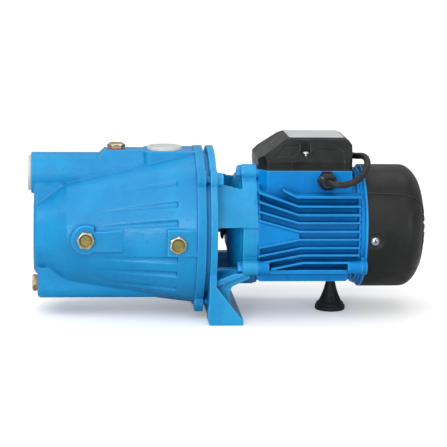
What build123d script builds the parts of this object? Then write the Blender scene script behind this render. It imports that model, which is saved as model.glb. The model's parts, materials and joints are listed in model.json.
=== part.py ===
from build123d import *
import math
import os

# Shallow well jet pump: cast pump body with a built-in ejector, lantern bracket
# with the front foot, finned single-phase motor, terminal box and rear foot.
# Frame: millimetres, +Z up, shaft along X.  Origin on the ground plane, at the
# middle of the line through the two front foot bolt holes.
# The suction end points to -X, the fan end to +X, the cable side is -Y.
# Every z below is a height over the shaft, unless a piece is drawn along its own +Z.

# ---------------------------------------------------------------- shared dimensions
AXIS_Z = 95.0            # shaft height above ground
GROUND_Z = -AXIS_Z
SIDES = (-1, 1)          # -Y and +Y

# casing joint, from the suction end to the motor
BODY_FLANGE_X0, BODY_FLANGE_X1 = -34.5, -25.0
SEAL_PLATE_X0, SEAL_PLATE_X1 = BODY_FLANGE_X1, -20.4
BRACKET_FLANGE_X0, BRACKET_FLANGE_X1 = SEAL_PLATE_X1, -13.0
FLANGE_R = 87.5
CASING_BOLTS = [(59.4, 59.4), (-59.4, 59.4), (41.3, -76.5), (-41.3, -76.5)]   # y, z
CASING_LUG_R = 11.0
M8_R = 4.0

# motor joint
REAR_DISC_X0, REAR_DISC_X1 = 15.8, 31.9
LOWER_LUG_Y, LOWER_LUG_Z = 61.0, -35.0
MOTOR_BOLTS = [(54.0, 41.0), (-27.0, 63.2),
               (LOWER_LUG_Y, LOWER_LUG_Z), (-LOWER_LUG_Y, LOWER_LUG_Z)]       # y, z
M6_R = 3.0

# ball bearings: 6203 at the pump end, 6202 at the fan end
FRONT_BEARING = dict(x0=12.0, x1=24.0, bore_r=8.5, outer_r=20.0, pitch_r=14.25, ball_r=3.36)
REAR_BEARING = dict(x0=139.0, x1=150.0, bore_r=7.5, outer_r=17.5, pitch_r=12.5, ball_r=2.96)
BALL_COUNT = 8

MID = (Align.CENTER, Align.CENTER, Align.MIN)


# ------------------------------------------------------------------ helpers
def at(x, y, z):
    return Pos(x, y, AXIS_Z + z)


def facing_suction(x, y, z):
    """Turns +Z of a piece to -X."""
    return at(x, y, z) * Rot(0, -90, 0)


def facing_side(x, y, z, side):
    """Turns +Z of a piece to -Y or +Y."""
    return at(x, y, z) * Rot(-90 * side, 0, 0)


def span(side, near, far):
    """Y range between two distances from the middle plane, on one side."""
    return sorted((side * near, side * far))


def rod(radius, length):
    return Cylinder(radius, length, align=MID)


def cone(bottom_r, top_r, height):
    return Cone(bottom_r, top_r, height, align=MID)


def cyl_x(x0, x1, radius, y=0.0, z=0.0):
    return at(x0, y, z) * Rot(0, 90, 0) * rod(radius, x1 - x0)


def cyl_y(y0, y1, radius, x, z):
    return at(x, y0, z) * Rot(-90, 0, 0) * rod(radius, y1 - y0)


def cyl_z(z0, z1, radius, x, y):
    return at(x, y, z0) * rod(radius, z1 - z0)


def ring_x(x0, x1, inner_r, outer_r, y=0.0, z=0.0):
    return cyl_x(x0, x1, outer_r, y, z) - cyl_x(x0 - 1, x1 + 1, inner_r, y, z)


def block(x0, x1, y0, y1, z0, z1):
    return at((x0 + x1) / 2, (y0 + y1) / 2, (z0 + z1) / 2) * Box(x1 - x0, y1 - y0, z1 - z0)


def radial_box(angle, x, radius, size, tilt=0.0):
    """Box centred at a radius; size is (along X, across, outward)."""
    return at(0, 0, 0) * Rot(angle, 0, 0) * Pos(x, 0, radius) * Rot(tilt, 0, 0) * Box(*size)


def revolve_x(points):
    """Closed (x, radius) outline turned about the shaft."""
    face = make_face(Polyline([(x, 0, radius) for x, radius in points], close=True))
    return at(0, 0, 0) * revolve(face, Axis.X, 360)


def revolve_z(points, x, y):
    """Closed (radius, z) outline turned about a vertical line."""
    face = make_face(Polyline([(radius, 0, z) for radius, z in points], close=True))
    return at(x, y, 0) * revolve(face, Axis.Z, 360)


def plate_x(points, x0, x1):
    """Closed (y, z) outline, thick from x0 to x1."""
    face = make_face(Polyline([(x0, y, AXIS_Z + z) for y, z in points], close=True))
    return extrude(face, amount=x1 - x0, dir=(1, 0, 0))


def plate_y(points, y0, y1):
    """Closed (x, z) outline, thick from y0 to y1."""
    face = make_face(Polyline([(x, y0, AXIS_Z + z) for x, z in points], close=True))
    return extrude(face, amount=y1 - y0, dir=(0, 1, 0))


def plate_z(points, z0, z1):
    """Closed (x, y) outline, thick from z0 to z1."""
    face = make_face(Polyline([(x, y, AXIS_Z + z0) for x, y in points], close=True))
    return extrude(face, amount=z1 - z0, dir=(0, 0, 1))


def disc_at(x, radius, z=0.0):
    return Plane(origin=(x, 0, AXIS_Z + z), x_dir=(0, 1, 0), z_dir=(1, 0, 0)) * Circle(radius)


def hexagon(across_flats, height):
    return extrude(RegularPolygon(across_flats / 2, 6, major_radius=False), amount=height)


def hex_x(x, across_flats, length, y=0.0, z=0.0):
    return at(x, y, z) * Rot(0, 90, 0) * hexagon(across_flats, length)


def wire(path, radius, is_frenet=False):
    profile = Plane(origin=path @ 0, z_dir=path % 0) * Circle(radius)
    return sweep(profile, path=path, is_frenet=is_frenet)


def save(name, built):
    """Writes one piece, given as a shape or a list of shapes."""
    shapes = built if isinstance(built, list) else [built]
    solids = [solid for shape in shapes for solid in shape.solids()]
    result = solids[0] if len(solids) == 1 else Compound(children=solids)
    export_step(result, os.path.join("parts", name + ".step"))


# ------------------------------------------------------------------ pump body
# ports (G1 pipe threads, modelled at their minor diameter)
PORT_R = 15.15
PORT_BORE_R = 17.0       # counterbore at the port mouth
PORT_BORE_L = 4.0
PORT_THREAD_L = 16.0
CAP_R = 19.6
CAP_T = 3.3
SUCTION_X = -210.2       # face of the suction boss
SUCTION_Z = 57.7
SUCTION_BOSS_R = 22.5
SUCTION_THREAD_END = SUCTION_X + PORT_BORE_L + PORT_THREAD_L
DISCHARGE_X = -65.9
DISCHARGE_TOP = 84.2

# threaded plugs (1/4 inch pipe thread, 17 mm hexagon)
PLUG_AF = 17.0
PLUG_HEAD_H = 4.6
PLUG_R = 6.45
PLUG_HOLE_R = 6.5
PLUG_L = 10.0
WASHER_R = 8.7
WASHER_T = 1.5
PRIMING_X = -118.3
PRIMING_TOP = 84.3
DRAIN_Z = -64.4
SUMP_X = -203.3          # suction-end face of the sump block
SIDE_PLUG_1 = (-151.9, -3.4, 71.0)   # x, z, distance of the pad face from the middle
SIDE_PLUG_2 = (-55.1, -5.8, 84.6)
SIDE_PLUG_TURNS = ((SIDE_PLUG_1, -8), (SIDE_PLUG_2, 26))   # plug, turn of its hexagon

BODY_BORE_R = 78.0
CHAMBER_X0 = -186.0      # suction chamber round the nozzle
CHAMBER_RISER_X1 = -162.0
NOZZLE_POCKET = (-200.0, -192.0)     # x range

# casing outside, flange to nose: x, radius, centre z
CASING_STATIONS = [(BODY_FLANGE_X0, 84.6, 0), (-172, 60, -7), (-196, 46, -9.5),
                   (-204.5, 42.5, -10.5), (-207.5, 38.0, -11)]

# flute centre lines: x, casing radius plus stand-off, centre z
FLUTE_START = (-143, 65.2 + 4.4, -5.7)
FLUTE_END = (-55, 81.0 + 1.9, -0.7)
FLUTE_ANGLES = (44.5, 26.6, 12.2, -16.8, -29.8, -46.3)     # above the horizontal
FLUTE_R = 4.5


def body_casting():
    """Outside of the pump body, still without its cavities."""
    segments = [loft([disc_at(*nose_end), disc_at(*flange_end)])
                for flange_end, nose_end in zip(CASING_STATIONS, CASING_STATIONS[1:])]
    body = segments[0]
    for segment in segments[1:]:
        body += segment
    # bolt flange with four lugs
    body += cyl_x(BODY_FLANGE_X0, BODY_FLANGE_X1, FLANGE_R)
    for y, z in CASING_BOLTS:
        body += cyl_x(BODY_FLANGE_X0, BODY_FLANGE_X1, CASING_LUG_R, y, z)
    # suction duct
    body += cyl_x(SUCTION_X, -95.0, SUCTION_BOSS_R, 0, SUCTION_Z)
    # web that carries the suction duct on the nose
    web = block(-207.0, -176.0, -21.0, 21.0, 0.0, SUCTION_Z)
    body += fillet(web.edges().filter_by(Axis.Z).group_by(Axis.X)[0], 3.0)
    # sump block with rounded lower edges
    sump = block(SUMP_X, -68.0, -38.5, 38.5, -75.0, -40.0)
    sump = fillet(sump.edges().filter_by(Axis.X).group_by(Axis.Z)[0], 12.0)
    sump = fillet(sump.edges().filter_by(Axis.Z).group_by(Axis.X)[0], 4.0)
    body += sump
    # priming pad: its side view crossed with its end view
    pad_side = [(-138, 50), (-138, 77), (-131, PRIMING_TOP), (-86, PRIMING_TOP), (-86, 50)]
    pad_end = [(-22.4, 50), (-22.4, 60), (-12.5, PRIMING_TOP), (12.5, PRIMING_TOP),
               (22.4, 60), (22.4, 50)]
    body += plate_y(pad_side, -24.0, 24.0) & plate_x(pad_end, -140, -80)
    # discharge boss
    boss = block(-88.5, BODY_FLANGE_X0 + 2, -22.5, 22.5, 50.0, DISCHARGE_TOP)
    body += fillet(boss.edges().filter_by(Axis.Z).group_by(Axis.X)[0], 7.0)
    # pads of the side plugs, alike on both sides
    for side in SIDES:
        x, z, face = SIDE_PLUG_1
        body += cyl_y(*span(side, 40.0, face), 15.5, x, z)
        body += block(x, -113.0, *span(side, 40.0, face), z - 13.0, z + 14.0)
        x, z, face = SIDE_PLUG_2
        body += block(x - 11.0, BODY_FLANGE_X0 + 2, *span(side, 40.0, face), z - 13.0, z + 15.5)
    return body


def flute_cutter(side, angle):
    ends = []
    for x, radius, centre_z in (FLUTE_START, FLUTE_END):
        y = side * math.cos(math.radians(angle)) * radius
        z = centre_z + math.sin(math.radians(angle)) * radius
        ends.append(Vector(x, y, AXIS_Z + z))
    direction = ends[1] - ends[0]
    return Plane(origin=ends[0], z_dir=direction) * rod(FLUTE_R, direction.length)


def pump_body():
    body = body_casting()
    # pressure chamber and sump
    body -= loft([disc_at(-151.0, 56.5, -6.5), disc_at(-40.0, BODY_BORE_R - 1.5, 0)])
    body -= cyl_x(-42.0, BODY_FLANGE_X1 + 1, BODY_BORE_R)
    body -= block(-197.5, -74.0, -32.0, 32.0, -71.0, -50.0)
    # suction chamber round the nozzle tip, with its riser to the suction duct
    body -= cyl_x(CHAMBER_X0, -158.0, 34.0, 0, -6.0)
    body -= block(CHAMBER_X0, CHAMBER_RISER_X1, -14.0, 14.0, 0.0, SUCTION_Z)
    body -= cyl_x(SUCTION_THREAD_END - 0.5, CHAMBER_RISER_X1, 16.2, 0, SUCTION_Z)
    body -= cyl_x(SUCTION_X - 1, SUCTION_X + PORT_BORE_L, PORT_BORE_R, 0, SUCTION_Z)
    body -= cyl_x(SUCTION_X, SUCTION_THREAD_END, PORT_R, 0, SUCTION_Z)
    # pocket that feeds the nozzle from the sump
    body -= cyl_x(*NOZZLE_POCKET, 15.0)
    body -= block(*NOZZLE_POCKET, -12.0, 12.0, -66.0, 0.0)
    # nozzle seat and venturi seat
    body -= cyl_x(-193.0, -185.0, NOZZLE_R)
    body -= cyl_x(-159.0, -150.0, VENTURI_SEAT_R)
    # discharge port
    body -= cyl_z(DISCHARGE_TOP - PORT_BORE_L, DISCHARGE_TOP + 1, PORT_BORE_R, DISCHARGE_X, 0)
    body -= cyl_z(52.0, DISCHARGE_TOP, PORT_R, DISCHARGE_X, 0)
    # plug holes
    body -= cyl_z(48.0, PRIMING_TOP + 1, PLUG_HOLE_R, PRIMING_X, 0)
    body -= cyl_x(SUMP_X - 1, -190.0, PLUG_HOLE_R, 0, DRAIN_Z)
    for side in SIDES:
        for x, z, face in (SIDE_PLUG_1, SIDE_PLUG_2):
            body -= cyl_y(*span(side, 45.0, face + 1), PLUG_HOLE_R, x, z)
    # cast flutes that deepen toward the flange
    for side in SIDES:
        for angle in FLUTE_ANGLES:
            body -= flute_cutter(side, angle)
    for y, z in CASING_BOLTS:
        body -= cyl_x(BODY_FLANGE_X0 + 1.2, BODY_FLANGE_X1 + 1, M8_R, y, z)
    return body


def hex_plug():
    """Plug along +Z: head on top, seating plane of its washer at z = 0."""
    head = Pos(0, 0, WASHER_T) * hexagon(PLUG_AF, PLUG_HEAD_H)
    head &= Pos(0, 0, WASHER_T) * cone(PLUG_AF * 0.5774 + 2.2, PLUG_AF * 0.5 - 0.6, PLUG_HEAD_H)
    head -= Pos(0, 0, WASHER_T + PLUG_HEAD_H - 1.6) * cone(5.4, 6.8, 1.7)
    shank = Pos(0, 0, -PLUG_L) * rod(PLUG_R, PLUG_L + WASHER_T + 0.5)
    shank -= Pos(0, 0, -PLUG_L - 1) * rod(3.6, PLUG_L - 2)
    return head + shank


def plug_washer():
    return rod(WASHER_R, WASHER_T) - Pos(0, 0, -1) * rod(PLUG_R + 0.1, WASHER_T + 2)


def priming_plug():
    return at(PRIMING_X, 0, PRIMING_TOP) * hex_plug()


def drain_plug():
    return facing_suction(SUMP_X, 0, DRAIN_Z) * Rot(0, 0, 30) * hex_plug()


def gauge_port_plugs():
    return [facing_side(x, side * face, z, side) * Rot(0, 0, turn) * hex_plug()
            for side in SIDES for (x, z, face), turn in SIDE_PLUG_TURNS]


def plug_washers():
    washers = [at(PRIMING_X, 0, PRIMING_TOP) * plug_washer(),
               facing_suction(SUMP_X, 0, DRAIN_Z) * plug_washer()]
    for side in SIDES:
        for x, z, face in (SIDE_PLUG_1, SIDE_PLUG_2):
            washers.append(facing_side(x, side * face, z, side) * plug_washer())
    return washers


def port_cap():
    """Push-in shipping cap along +Z with its seating plane at z = 0."""
    cap = cone(CAP_R, CAP_R - 0.9, CAP_T)
    cap += Pos(0, 0, -PORT_BORE_L + 0.3) * rod(PORT_BORE_R - 0.06, PORT_BORE_L + 0.2)
    cap -= Pos(0, 0, -PORT_BORE_L) * rod(PORT_BORE_R - 2.4, PORT_BORE_L + CAP_T - 1.8)
    # ring groove in the top
    cap -= Pos(0, 0, CAP_T - 0.7) * (rod(14.6, 1.0) - rod(13.0, 1.0))
    return cap


def suction_port_cap():
    return facing_suction(SUCTION_X, 0, SUCTION_Z) * port_cap()


def discharge_port_cap():
    return at(DISCHARGE_X, 0, DISCHARGE_TOP) * port_cap()


# ------------------------------------------------------------------ ejector and impeller
NOZZLE_R = 9.0
VENTURI_SEAT_R = 15.0
IMPELLER_X0, IMPELLER_X1 = -53, -36.2
IMPELLER_R = 57.0
IMPELLER_BORE_R = 6.0
BLADE_COUNT = 6
BLADE_X0, BLADE_X1 = -47.3, -38.0
BLADE_STEPS = 6          # straight segments along one blade
BLADE_HALF_T = 1.0
KEY_X0, KEY_X1 = -49.0, -38.0
KEY_Z = 4.0
KEYWAY_HALF = 1.5


def ejector_nozzle():
    return revolve_x([(-194.5, 4.5), (-194.5, 12.0), (-192.05, 12.0), (-192.05, NOZZLE_R),
                      (-180, NOZZLE_R), (-164, 5.6), (-164, 3.4), (-168, 3.4), (-186, 6.4)])


def venturi_tube():
    return revolve_x([(-161.5, 12.2), (-161.5, 17.4), (-158.02, 17.4), (-158.02, 14.95),
                      (-152, 14.95), (-152, 12.0), (-136, 10.0), (-118, 10.0), (-70, 13.6),
                      (-70, 15.0), (-59.2, 15.0), (-59.2, 11.0), (-74, 10.4), (-120, 6.0),
                      (-138, 6.0), (-152, 8.2)])


def diffuser():
    plate = revolve_x([(-71.5, 15.06), (-71.5, 19.0), (-56, 19.0), (-53, 22.0), (-53, 66.0),
                       (-29.0, 66.0), (-29.0, 62.5), (-50.2, 62.5), (-50.2, 16.6),
                       (-56.5, 16.6), (-56.5, 12.0), (-59.0, 12.0), (-59.0, 15.06)])
    # outlet windows through the rim
    for i in range(8):
        plate -= radial_box(i * 45.0 + 10, -43.5, 64, (8, 22, 14))
    # return vanes on the suction side of the plate
    for i in range(8):
        plate += radial_box(i * 45.0 + 30, -55.4, 44, (5, 2.4, 36), tilt=18)
    return plate


def impeller_blade():
    """Swept-back blade, trimmed to the wheel rim and under the shroud."""
    points = []
    for step in range(BLADE_STEPS + 1):
        share = step / BLADE_STEPS
        radius = 14.5 + share * 42.0
        angle = math.radians(-62.0 * share)
        points.append((radius * math.cos(angle), radius * math.sin(angle)))
    blade = None
    for (y0, z0), (y1, z1) in zip(points, points[1:]):
        length = math.hypot(y1 - y0, z1 - z0)
        off_y = -(z1 - z0) / length * BLADE_HALF_T
        off_z = (y1 - y0) / length * BLADE_HALF_T
        segment = plate_x([(y0 + off_y, z0 + off_z), (y1 + off_y, z1 + off_z),
                           (y1 - off_y, z1 - off_z), (y0 - off_y, z0 - off_z)],
                          BLADE_X0, BLADE_X1)
        blade = segment if blade is None else blade + segment
    blade &= cyl_x(BLADE_X0, BLADE_X1, IMPELLER_R - 0.1) - revolve_x(
        [(-60, 16.6), (-60, 70), (-46.4, 70), (-46.4, 57), (-48.6, 18.5), (-48.6, 16.6)])
    return blade


def impeller():
    wheel = revolve_x([(IMPELLER_X0, IMPELLER_BORE_R), (IMPELLER_X0, 10.5), (-42, 12.5),
                       (-40, 22.0), (-38.4, IMPELLER_R), (IMPELLER_X1, IMPELLER_R),
                       (IMPELLER_X1, IMPELLER_BORE_R)])
    # shroud with its inlet neck
    wheel += revolve_x([(-55.5, 14.0), (-55.5, 16.5), (-49.2, 16.5), (-49.2, 19),
                        (-46.6, IMPELLER_R), (-45.0, IMPELLER_R), (-46.8, 19), (-48, 14.0)])
    blade = impeller_blade()
    for i in range(BLADE_COUNT):
        turn = Rot(i * 360.0 / BLADE_COUNT, 0, 0)
        wheel += at(0, 0, 0) * turn * Pos(0, 0, -AXIS_Z) * blade
    # keyway
    wheel -= block(-53.5, -36.0, -KEYWAY_HALF, KEYWAY_HALF, KEY_Z, 7.6)
    return wheel


def impeller_key():
    return block(KEY_X0, KEY_X1, -KEYWAY_HALF + 0.02, KEYWAY_HALF - 0.02, KEY_Z, 7.55)


def impeller_nut():
    return hex_x(-59.6, 13.0, 6.55) - cyl_x(-60.5, -52.0, M8_R)


# ------------------------------------------------------------------ shaft seal
SEAL_PLATE_R = 79.0
SPIGOT_R = 77.8
SEAL_PLATE_BORE_R = 9.6
SEAL_CUP_R = 16.0
SEAL_SEAT_R = 13.6
SEAL_SHAFT_R = 8.0
CASING_RING_X = -26.7
CASING_RING_R = 76.7
CASING_RING_WIRE_R = 1.2


def seal_plate():
    bore_r = SEAL_PLATE_BORE_R
    plate = ring_x(SEAL_PLATE_X0, SEAL_PLATE_X1, bore_r, SEAL_PLATE_R)
    # spigot into the pump body
    plate += revolve_x([(-29, 60), (-29, SPIGOT_R), (-24.5, SPIGOT_R), (-24.5, 60)])
    # seal hub, suction side and motor side, with its cup bore and end wall
    plate += revolve_x([(-28.4, 12), (-28.4, 20), (-24.5, 22), (-24.5, 12)])
    plate += revolve_x([(-21, bore_r), (-21, 22), (-14.5, 20), (-14.5, bore_r)])
    plate -= cyl_x(-29, -17.5, SEAL_CUP_R)
    plate += ring_x(-17.6, -14.5, bore_r, 16.5)
    # groove of the casing ring
    plate -= ring_x(-28.0, -25.4, 75.4, 79.5)
    # radial ribs on the motor side
    for i in range(6):
        plate += radial_box(i * 60.0, -19.2, 39.5, (2.6, 3.0, 38))
    return plate


def casing_seal_ring():
    return at(CASING_RING_X, 0, 0) * Rot(0, 90, 0) * Torus(CASING_RING_R, CASING_RING_WIRE_R)


def seal_seat_cup():
    return revolve_x([(-27.4, SEAL_SEAT_R), (-27.4, SEAL_CUP_R), (-17.6, SEAL_CUP_R),
                      (-17.6, 11.0), (-20.0, 11.0), (-20.0, SEAL_SEAT_R)])


def seal_seat():
    return revolve_x([(-27.0, 9.4), (-27.0, SEAL_SEAT_R), (-20.0, SEAL_SEAT_R), (-20.0, 9.4)])


def seal_head():
    return revolve_x([(-27.05, 9.2), (-27.05, 12.4), (-29.6, 12.4), (-29.6, 13.8),
                      (-31.2, 13.8), (-31.2, SEAL_SHAFT_R), (-28.6, SEAL_SHAFT_R),
                      (-28.6, 9.2)])


def seal_spring():
    coil = wire(Helix(pitch=1.45, height=3.4, radius=11.2), 0.55, is_frenet=True)
    return at(-35.4, 0, 0) * Rot(0, 90, 0) * coil


def water_slinger():
    return revolve_x([(-3.0, SEAL_SHAFT_R), (-3.0, 14.0), (-1.8, 15.6), (-0.5, 15.6),
                      (-0.5, 11.0), (1.5, 10.2), (1.5, SEAL_SHAFT_R)])


# ------------------------------------------------------------------ bracket
FOOT_X0, FOOT_X1 = -21.8, 16.0       # FOOT_X0 is the gusset face, past the sole
FOOT_HALF = 78.0
FOOT_T = 6.5
FOOT_HOLE_Y = 62.0
FOOT_HOLE_R = 4.75
FOOT_BOSS_R = 12.5
FOOT_BOSS_T = 9.6
REAR_DISC_R = 66.0
HUB_BORE_R = 9.6
SIDE_WINDOW_TOP = 8.5

# side views of the foot ribs: x, z
OUTER_GUSSET = [(FOOT_X0 + 1.4, GROUND_Z), (FOOT_X1, GROUND_Z), (FOOT_X1, -89.5),
                (12.5, -86.5), (-13.0, -53.5), (-13.0, -12), (BRACKET_FLANGE_X0, -12),
                (BRACKET_FLANGE_X0, -70), (FOOT_X0, -80), (FOOT_X0, -86)]
INNER_WEB = [(BRACKET_FLANGE_X0, GROUND_Z), (13.0, GROUND_Z), (9.9, -85.8), (5.6, -79),
             (3.2, -73), (2.4, -66), (3.2, -60), (6.0, -56.4), (24.0, -48.0), (24.0, -38),
             (14, -38), (-13.0, -50), (BRACKET_FLANGE_X0, -50)]
LOWER_ARM = [(-13.5, -56.0), (-13.5, -49.5), (18.0, -37.0), (18.0, -43.5)]


def bracket_lantern():
    """Shell between the flange and the rear disc, with its windows."""
    lantern = revolve_x([(-13.5, 60), (-13.5, 70.6), (-10.5, 68.4), (-4.0, 67.2), (6.0, 66.4),
                         (REAR_DISC_X0, REAR_DISC_R), (16.5, REAR_DISC_R), (16.5, 55),
                         (-8, 58)])
    top_window = [(-13.0, -41.5), (16.0, -45.5), (16.0, 45.5), (-13.0, 41.5)]
    lantern -= plate_z(top_window, 20.0, 90.0)
    # side windows, then bottom window
    lantern -= block(-13.0, REAR_DISC_X0, -90.0, 90.0, -39.0, SIDE_WINDOW_TOP)
    lantern -= block(-13.0, 16.0, -34.0, 34.0, -90.0, -20.0)
    return lantern


def bracket():
    casting = cyl_x(BRACKET_FLANGE_X0, BRACKET_FLANGE_X1, FLANGE_R)
    for y, z in CASING_BOLTS:
        casting += cyl_x(BRACKET_FLANGE_X0, BRACKET_FLANGE_X1, CASING_LUG_R, y, z)
    casting += bracket_lantern()
    # rear disc that closes the motor, a little smaller below the window tops
    disc_x = (REAR_DISC_X0, REAR_DISC_X1)
    casting += cyl_x(*disc_x, REAR_DISC_R)
    rim = ring_x(REAR_DISC_X0 - 1, REAR_DISC_X1 + 1, REAR_DISC_R - 1.5, REAR_DISC_R + 1)
    casting -= rim & block(REAR_DISC_X0 - 2, REAR_DISC_X1 + 2, -90.0, 90.0,
                           -90.0, SIDE_WINDOW_TOP)
    for y, z in MOTOR_BOLTS:
        casting += cyl_x(*disc_x, 8.5, y, z)
    # gussets flush with the foot ends, and webs with a hollow edge toward the motor
    for side in SIDES:
        casting += plate_y(OUTER_GUSSET, *span(side, FOOT_HALF - 7.0, FOOT_HALF))
        casting += plate_y(INNER_WEB, *span(side, 52.0, 59.0))
    # thin ribs that slope up to the rear disc
    for side in SIDES:
        casting += plate_y(LOWER_ARM, *span(side, 50.0, 66.0))
    # cross wall over the foot
    casting += block(BRACKET_FLANGE_X0, -14.5, -76.0, 76.0, -93.0, -50.0)
    # foot
    casting += block(FOOT_X0 + 1.4, FOOT_X1, -FOOT_HALF, FOOT_HALF,
                     GROUND_Z, GROUND_Z + FOOT_T)
    for side in SIDES:
        casting += cyl_z(GROUND_Z, GROUND_Z + FOOT_BOSS_T, FOOT_BOSS_R, 0, side * FOOT_HOLE_Y)
    # relief under the foot
    casting -= block(FOOT_X0 - 1, FOOT_X1 + 1, -44.0, 44.0, GROUND_Z - 1, GROUND_Z + 4)
    # inside of the flange and of the lantern
    casting -= cyl_x(-22.0, -8.0, 60.0)
    casting -= revolve_x([(-9, 0), (-9, 56.0), (12, 50.0), (12, 30), (0, 30), (0, 0)])
    # bearing hub, flared out to the disc
    casting += revolve_x([(2.0, HUB_BORE_R), (2.0, 20.0), (4.0, 26.5), (6.4, 38.0),
                          (9.8, 49.0), (13.0, 56.5), (16.5, 62.0), (17.0, 62.0),
                          (17.0, HUB_BORE_R)])
    casting -= cyl_x(0.0, 40.0, HUB_BORE_R)
    casting -= cyl_x(FRONT_BEARING["x0"], 40.0, FRONT_BEARING["outer_r"])
    # recess on the motor side, deeper round the bearing seat
    casting -= cyl_x(FRONT_BEARING["x1"] + 1.6, REAR_DISC_X1 + 1, 52.0)
    casting -= ring_x(23.0, REAR_DISC_X1 + 1, 27.0, 52.0)
    # bolt holes, each with clearance for its head
    for y, z in CASING_BOLTS:
        casting -= cyl_x(-22, BRACKET_FLANGE_X1 + 0.5, M8_R + 0.5, y, z)
        casting -= cyl_x(BRACKET_FLANGE_X1, -3.0, 9.2, y, z)
    for y, z in MOTOR_BOLTS:
        casting -= cyl_x(REAR_DISC_X0 - 1, REAR_DISC_X1 + 1, M6_R + 0.3, y, z)
        casting -= cyl_x(3.0, REAR_DISC_X0, 7.4, y, z)
    for side in SIDES:
        casting -= cyl_z(GROUND_Z - 1, -80.0, FOOT_HOLE_R, 0, side * FOOT_HOLE_Y)
    return casting


def casing_bolts():
    """Bolts entered from the motor side, each with its washer."""
    washer_t = 1.2
    bolts = []
    for y, z in CASING_BOLTS:
        bolt = hex_x(BRACKET_FLANGE_X1 + washer_t, 13.0, 5.3, y, z)
        bolt += cyl_x(BRACKET_FLANGE_X1, BRACKET_FLANGE_X1 + washer_t, 8.0, y, z)
        bolt += cyl_x(BODY_FLANGE_X0 + 1.6, BRACKET_FLANGE_X1 + 2, M8_R, y, z)
        bolts.append(bolt)
    return bolts


def motor_bolts():
    """Bolts entered from the pump side, each with its washer."""
    washer_t, head_h = 1.1, 4.3
    bolts = []
    for y, z in MOTOR_BOLTS:
        bolt = hex_x(REAR_DISC_X0 - washer_t - head_h, 10.0, head_h, y, z)
        bolt += cyl_x(REAR_DISC_X0 - washer_t, REAR_DISC_X0, 6.4, y, z)
        bolt += cyl_x(REAR_DISC_X0 - 2.0, HOUSING_X0 + 9.0, M6_R, y, z)
        bolts.append(bolt)
    return bolts


# ------------------------------------------------------------------ shaft set
STATOR_X0, STATOR_X1 = 54.0, 120.0
STATOR_MID_X = (STATOR_X0 + STATOR_X1) / 2
STATOR_L = STATOR_X1 - STATOR_X0
STATOR_BORE_R = 30.6
ROTOR_R = 30.2
ROTOR_BORE_R = 12.0
ROTOR_OVERHANG = 0.5     # rotor core past the stator core, at each end
FAN_SEAT_R = 6.5
FAN_X0, FAN_X1 = 163.0, 181.0
CIRCLIP_GROOVE_R = 5.8


def shaft():
    front_r, rear_r = FRONT_BEARING["bore_r"], REAR_BEARING["bore_r"]
    turned = revolve_x([
        (-61.0, 0), (-61.0, 3.4), (-60.4, M8_R), (IMPELLER_X0, M8_R),
        (IMPELLER_X0, IMPELLER_BORE_R), (IMPELLER_X1, IMPELLER_BORE_R),
        (IMPELLER_X1, SEAL_SHAFT_R), (10.0, SEAL_SHAFT_R), (10.0, front_r), (24.0, front_r),
        (24.0, 10.5), (46.0, 10.5), (46.0, ROTOR_BORE_R), (128.0, ROTOR_BORE_R),
        (128.0, 10.0), (139.0, 10.0), (139.0, rear_r), (151.5, rear_r), (151.5, FAN_SEAT_R),
        (189.0, FAN_SEAT_R), (190.0, 5.5), (190.0, 0)])
    # key seat, circlip groove and flat under the fan
    turned -= block(KEY_X0, KEY_X1, -KEYWAY_HALF, KEYWAY_HALF, KEY_Z, 8.5)
    turned -= ring_x(181.2, 182.6, CIRCLIP_GROOVE_R, 8.0)
    turned -= block(162.0, 189.9, -8, 8, 5.6, 8)
    return turned


def ball_bearing(x0, x1, bore_r, outer_r, pitch_r, ball_r):
    """The four pieces of a bearing, by the end of their names."""
    mid_x = (x0 + x1) / 2
    race_gap = ball_r * 0.76
    groove = at(mid_x, 0, 0) * Rot(0, 90, 0) * Torus(pitch_r, ball_r + 0.04)
    inner_ring = ring_x(x0, x1, bore_r, pitch_r - race_gap) - groove
    outer_ring = ring_x(x0, x1, pitch_r + race_gap, outer_r) - groove
    cage_half = ball_r * 1.15
    cage = ring_x(mid_x - cage_half, mid_x + cage_half, pitch_r - 0.7, pitch_r + 0.7)
    balls = []
    for i in range(BALL_COUNT):
        angle = math.radians(i * 360.0 / BALL_COUNT)
        centre = at(mid_x, pitch_r * math.sin(angle), pitch_r * math.cos(angle))
        balls.append(centre * Sphere(ball_r))
        cage -= centre * Sphere(ball_r + 0.05)
    return {"inner_ring": inner_ring, "outer_ring": outer_ring, "balls": balls, "cage": cage}


def wave_washer():
    return ring_x(REAR_BEARING["x1"], REAR_BEARING["x1"] + 0.7, 12.5, 16.8)


def fan_circlip():
    clip = ring_x(181.25, 182.55, CIRCLIP_GROOVE_R, 8.6)
    return clip - block(181.0, 183.0, -2.2, 2.2, 0.0, 12.0)


def rotor_core():
    return ring_x(STATOR_X0 - ROTOR_OVERHANG, STATOR_X1 + ROTOR_OVERHANG,
                  ROTOR_BORE_R, ROTOR_R)


def rotor_end_rings():
    """End rings, each with six small blades on its outer face."""
    length = 7.0
    rings = []
    for x0, blade_x in ((STATOR_X0 - ROTOR_OVERHANG - length, STATOR_X0 - 9.5),
                        (STATOR_X1 + ROTOR_OVERHANG, STATOR_X1 + 9.5)):
        ring = ring_x(x0, x0 + length, 19.0, 29.4)
        for i in range(6):
            ring += radial_box(i * 60.0, blade_x, 25, (5, 2.0, 7))
        rings.append(ring)
    return rings


def cooling_fan():
    fan = ring_x(FAN_X0, FAN_X1, FAN_SEAT_R, 13.0)
    fan += ring_x(FAN_X0, FAN_X0 + 2.2, 12.5, 33.0)
    for i in range(9):
        fan += radial_box(i * 40.0, (FAN_X0 + FAN_X1) / 2, 34, (FAN_X1 - FAN_X0, 2.0, 46))
    fan -= cyl_x(160, 190, FAN_SEAT_R)
    return fan


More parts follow.
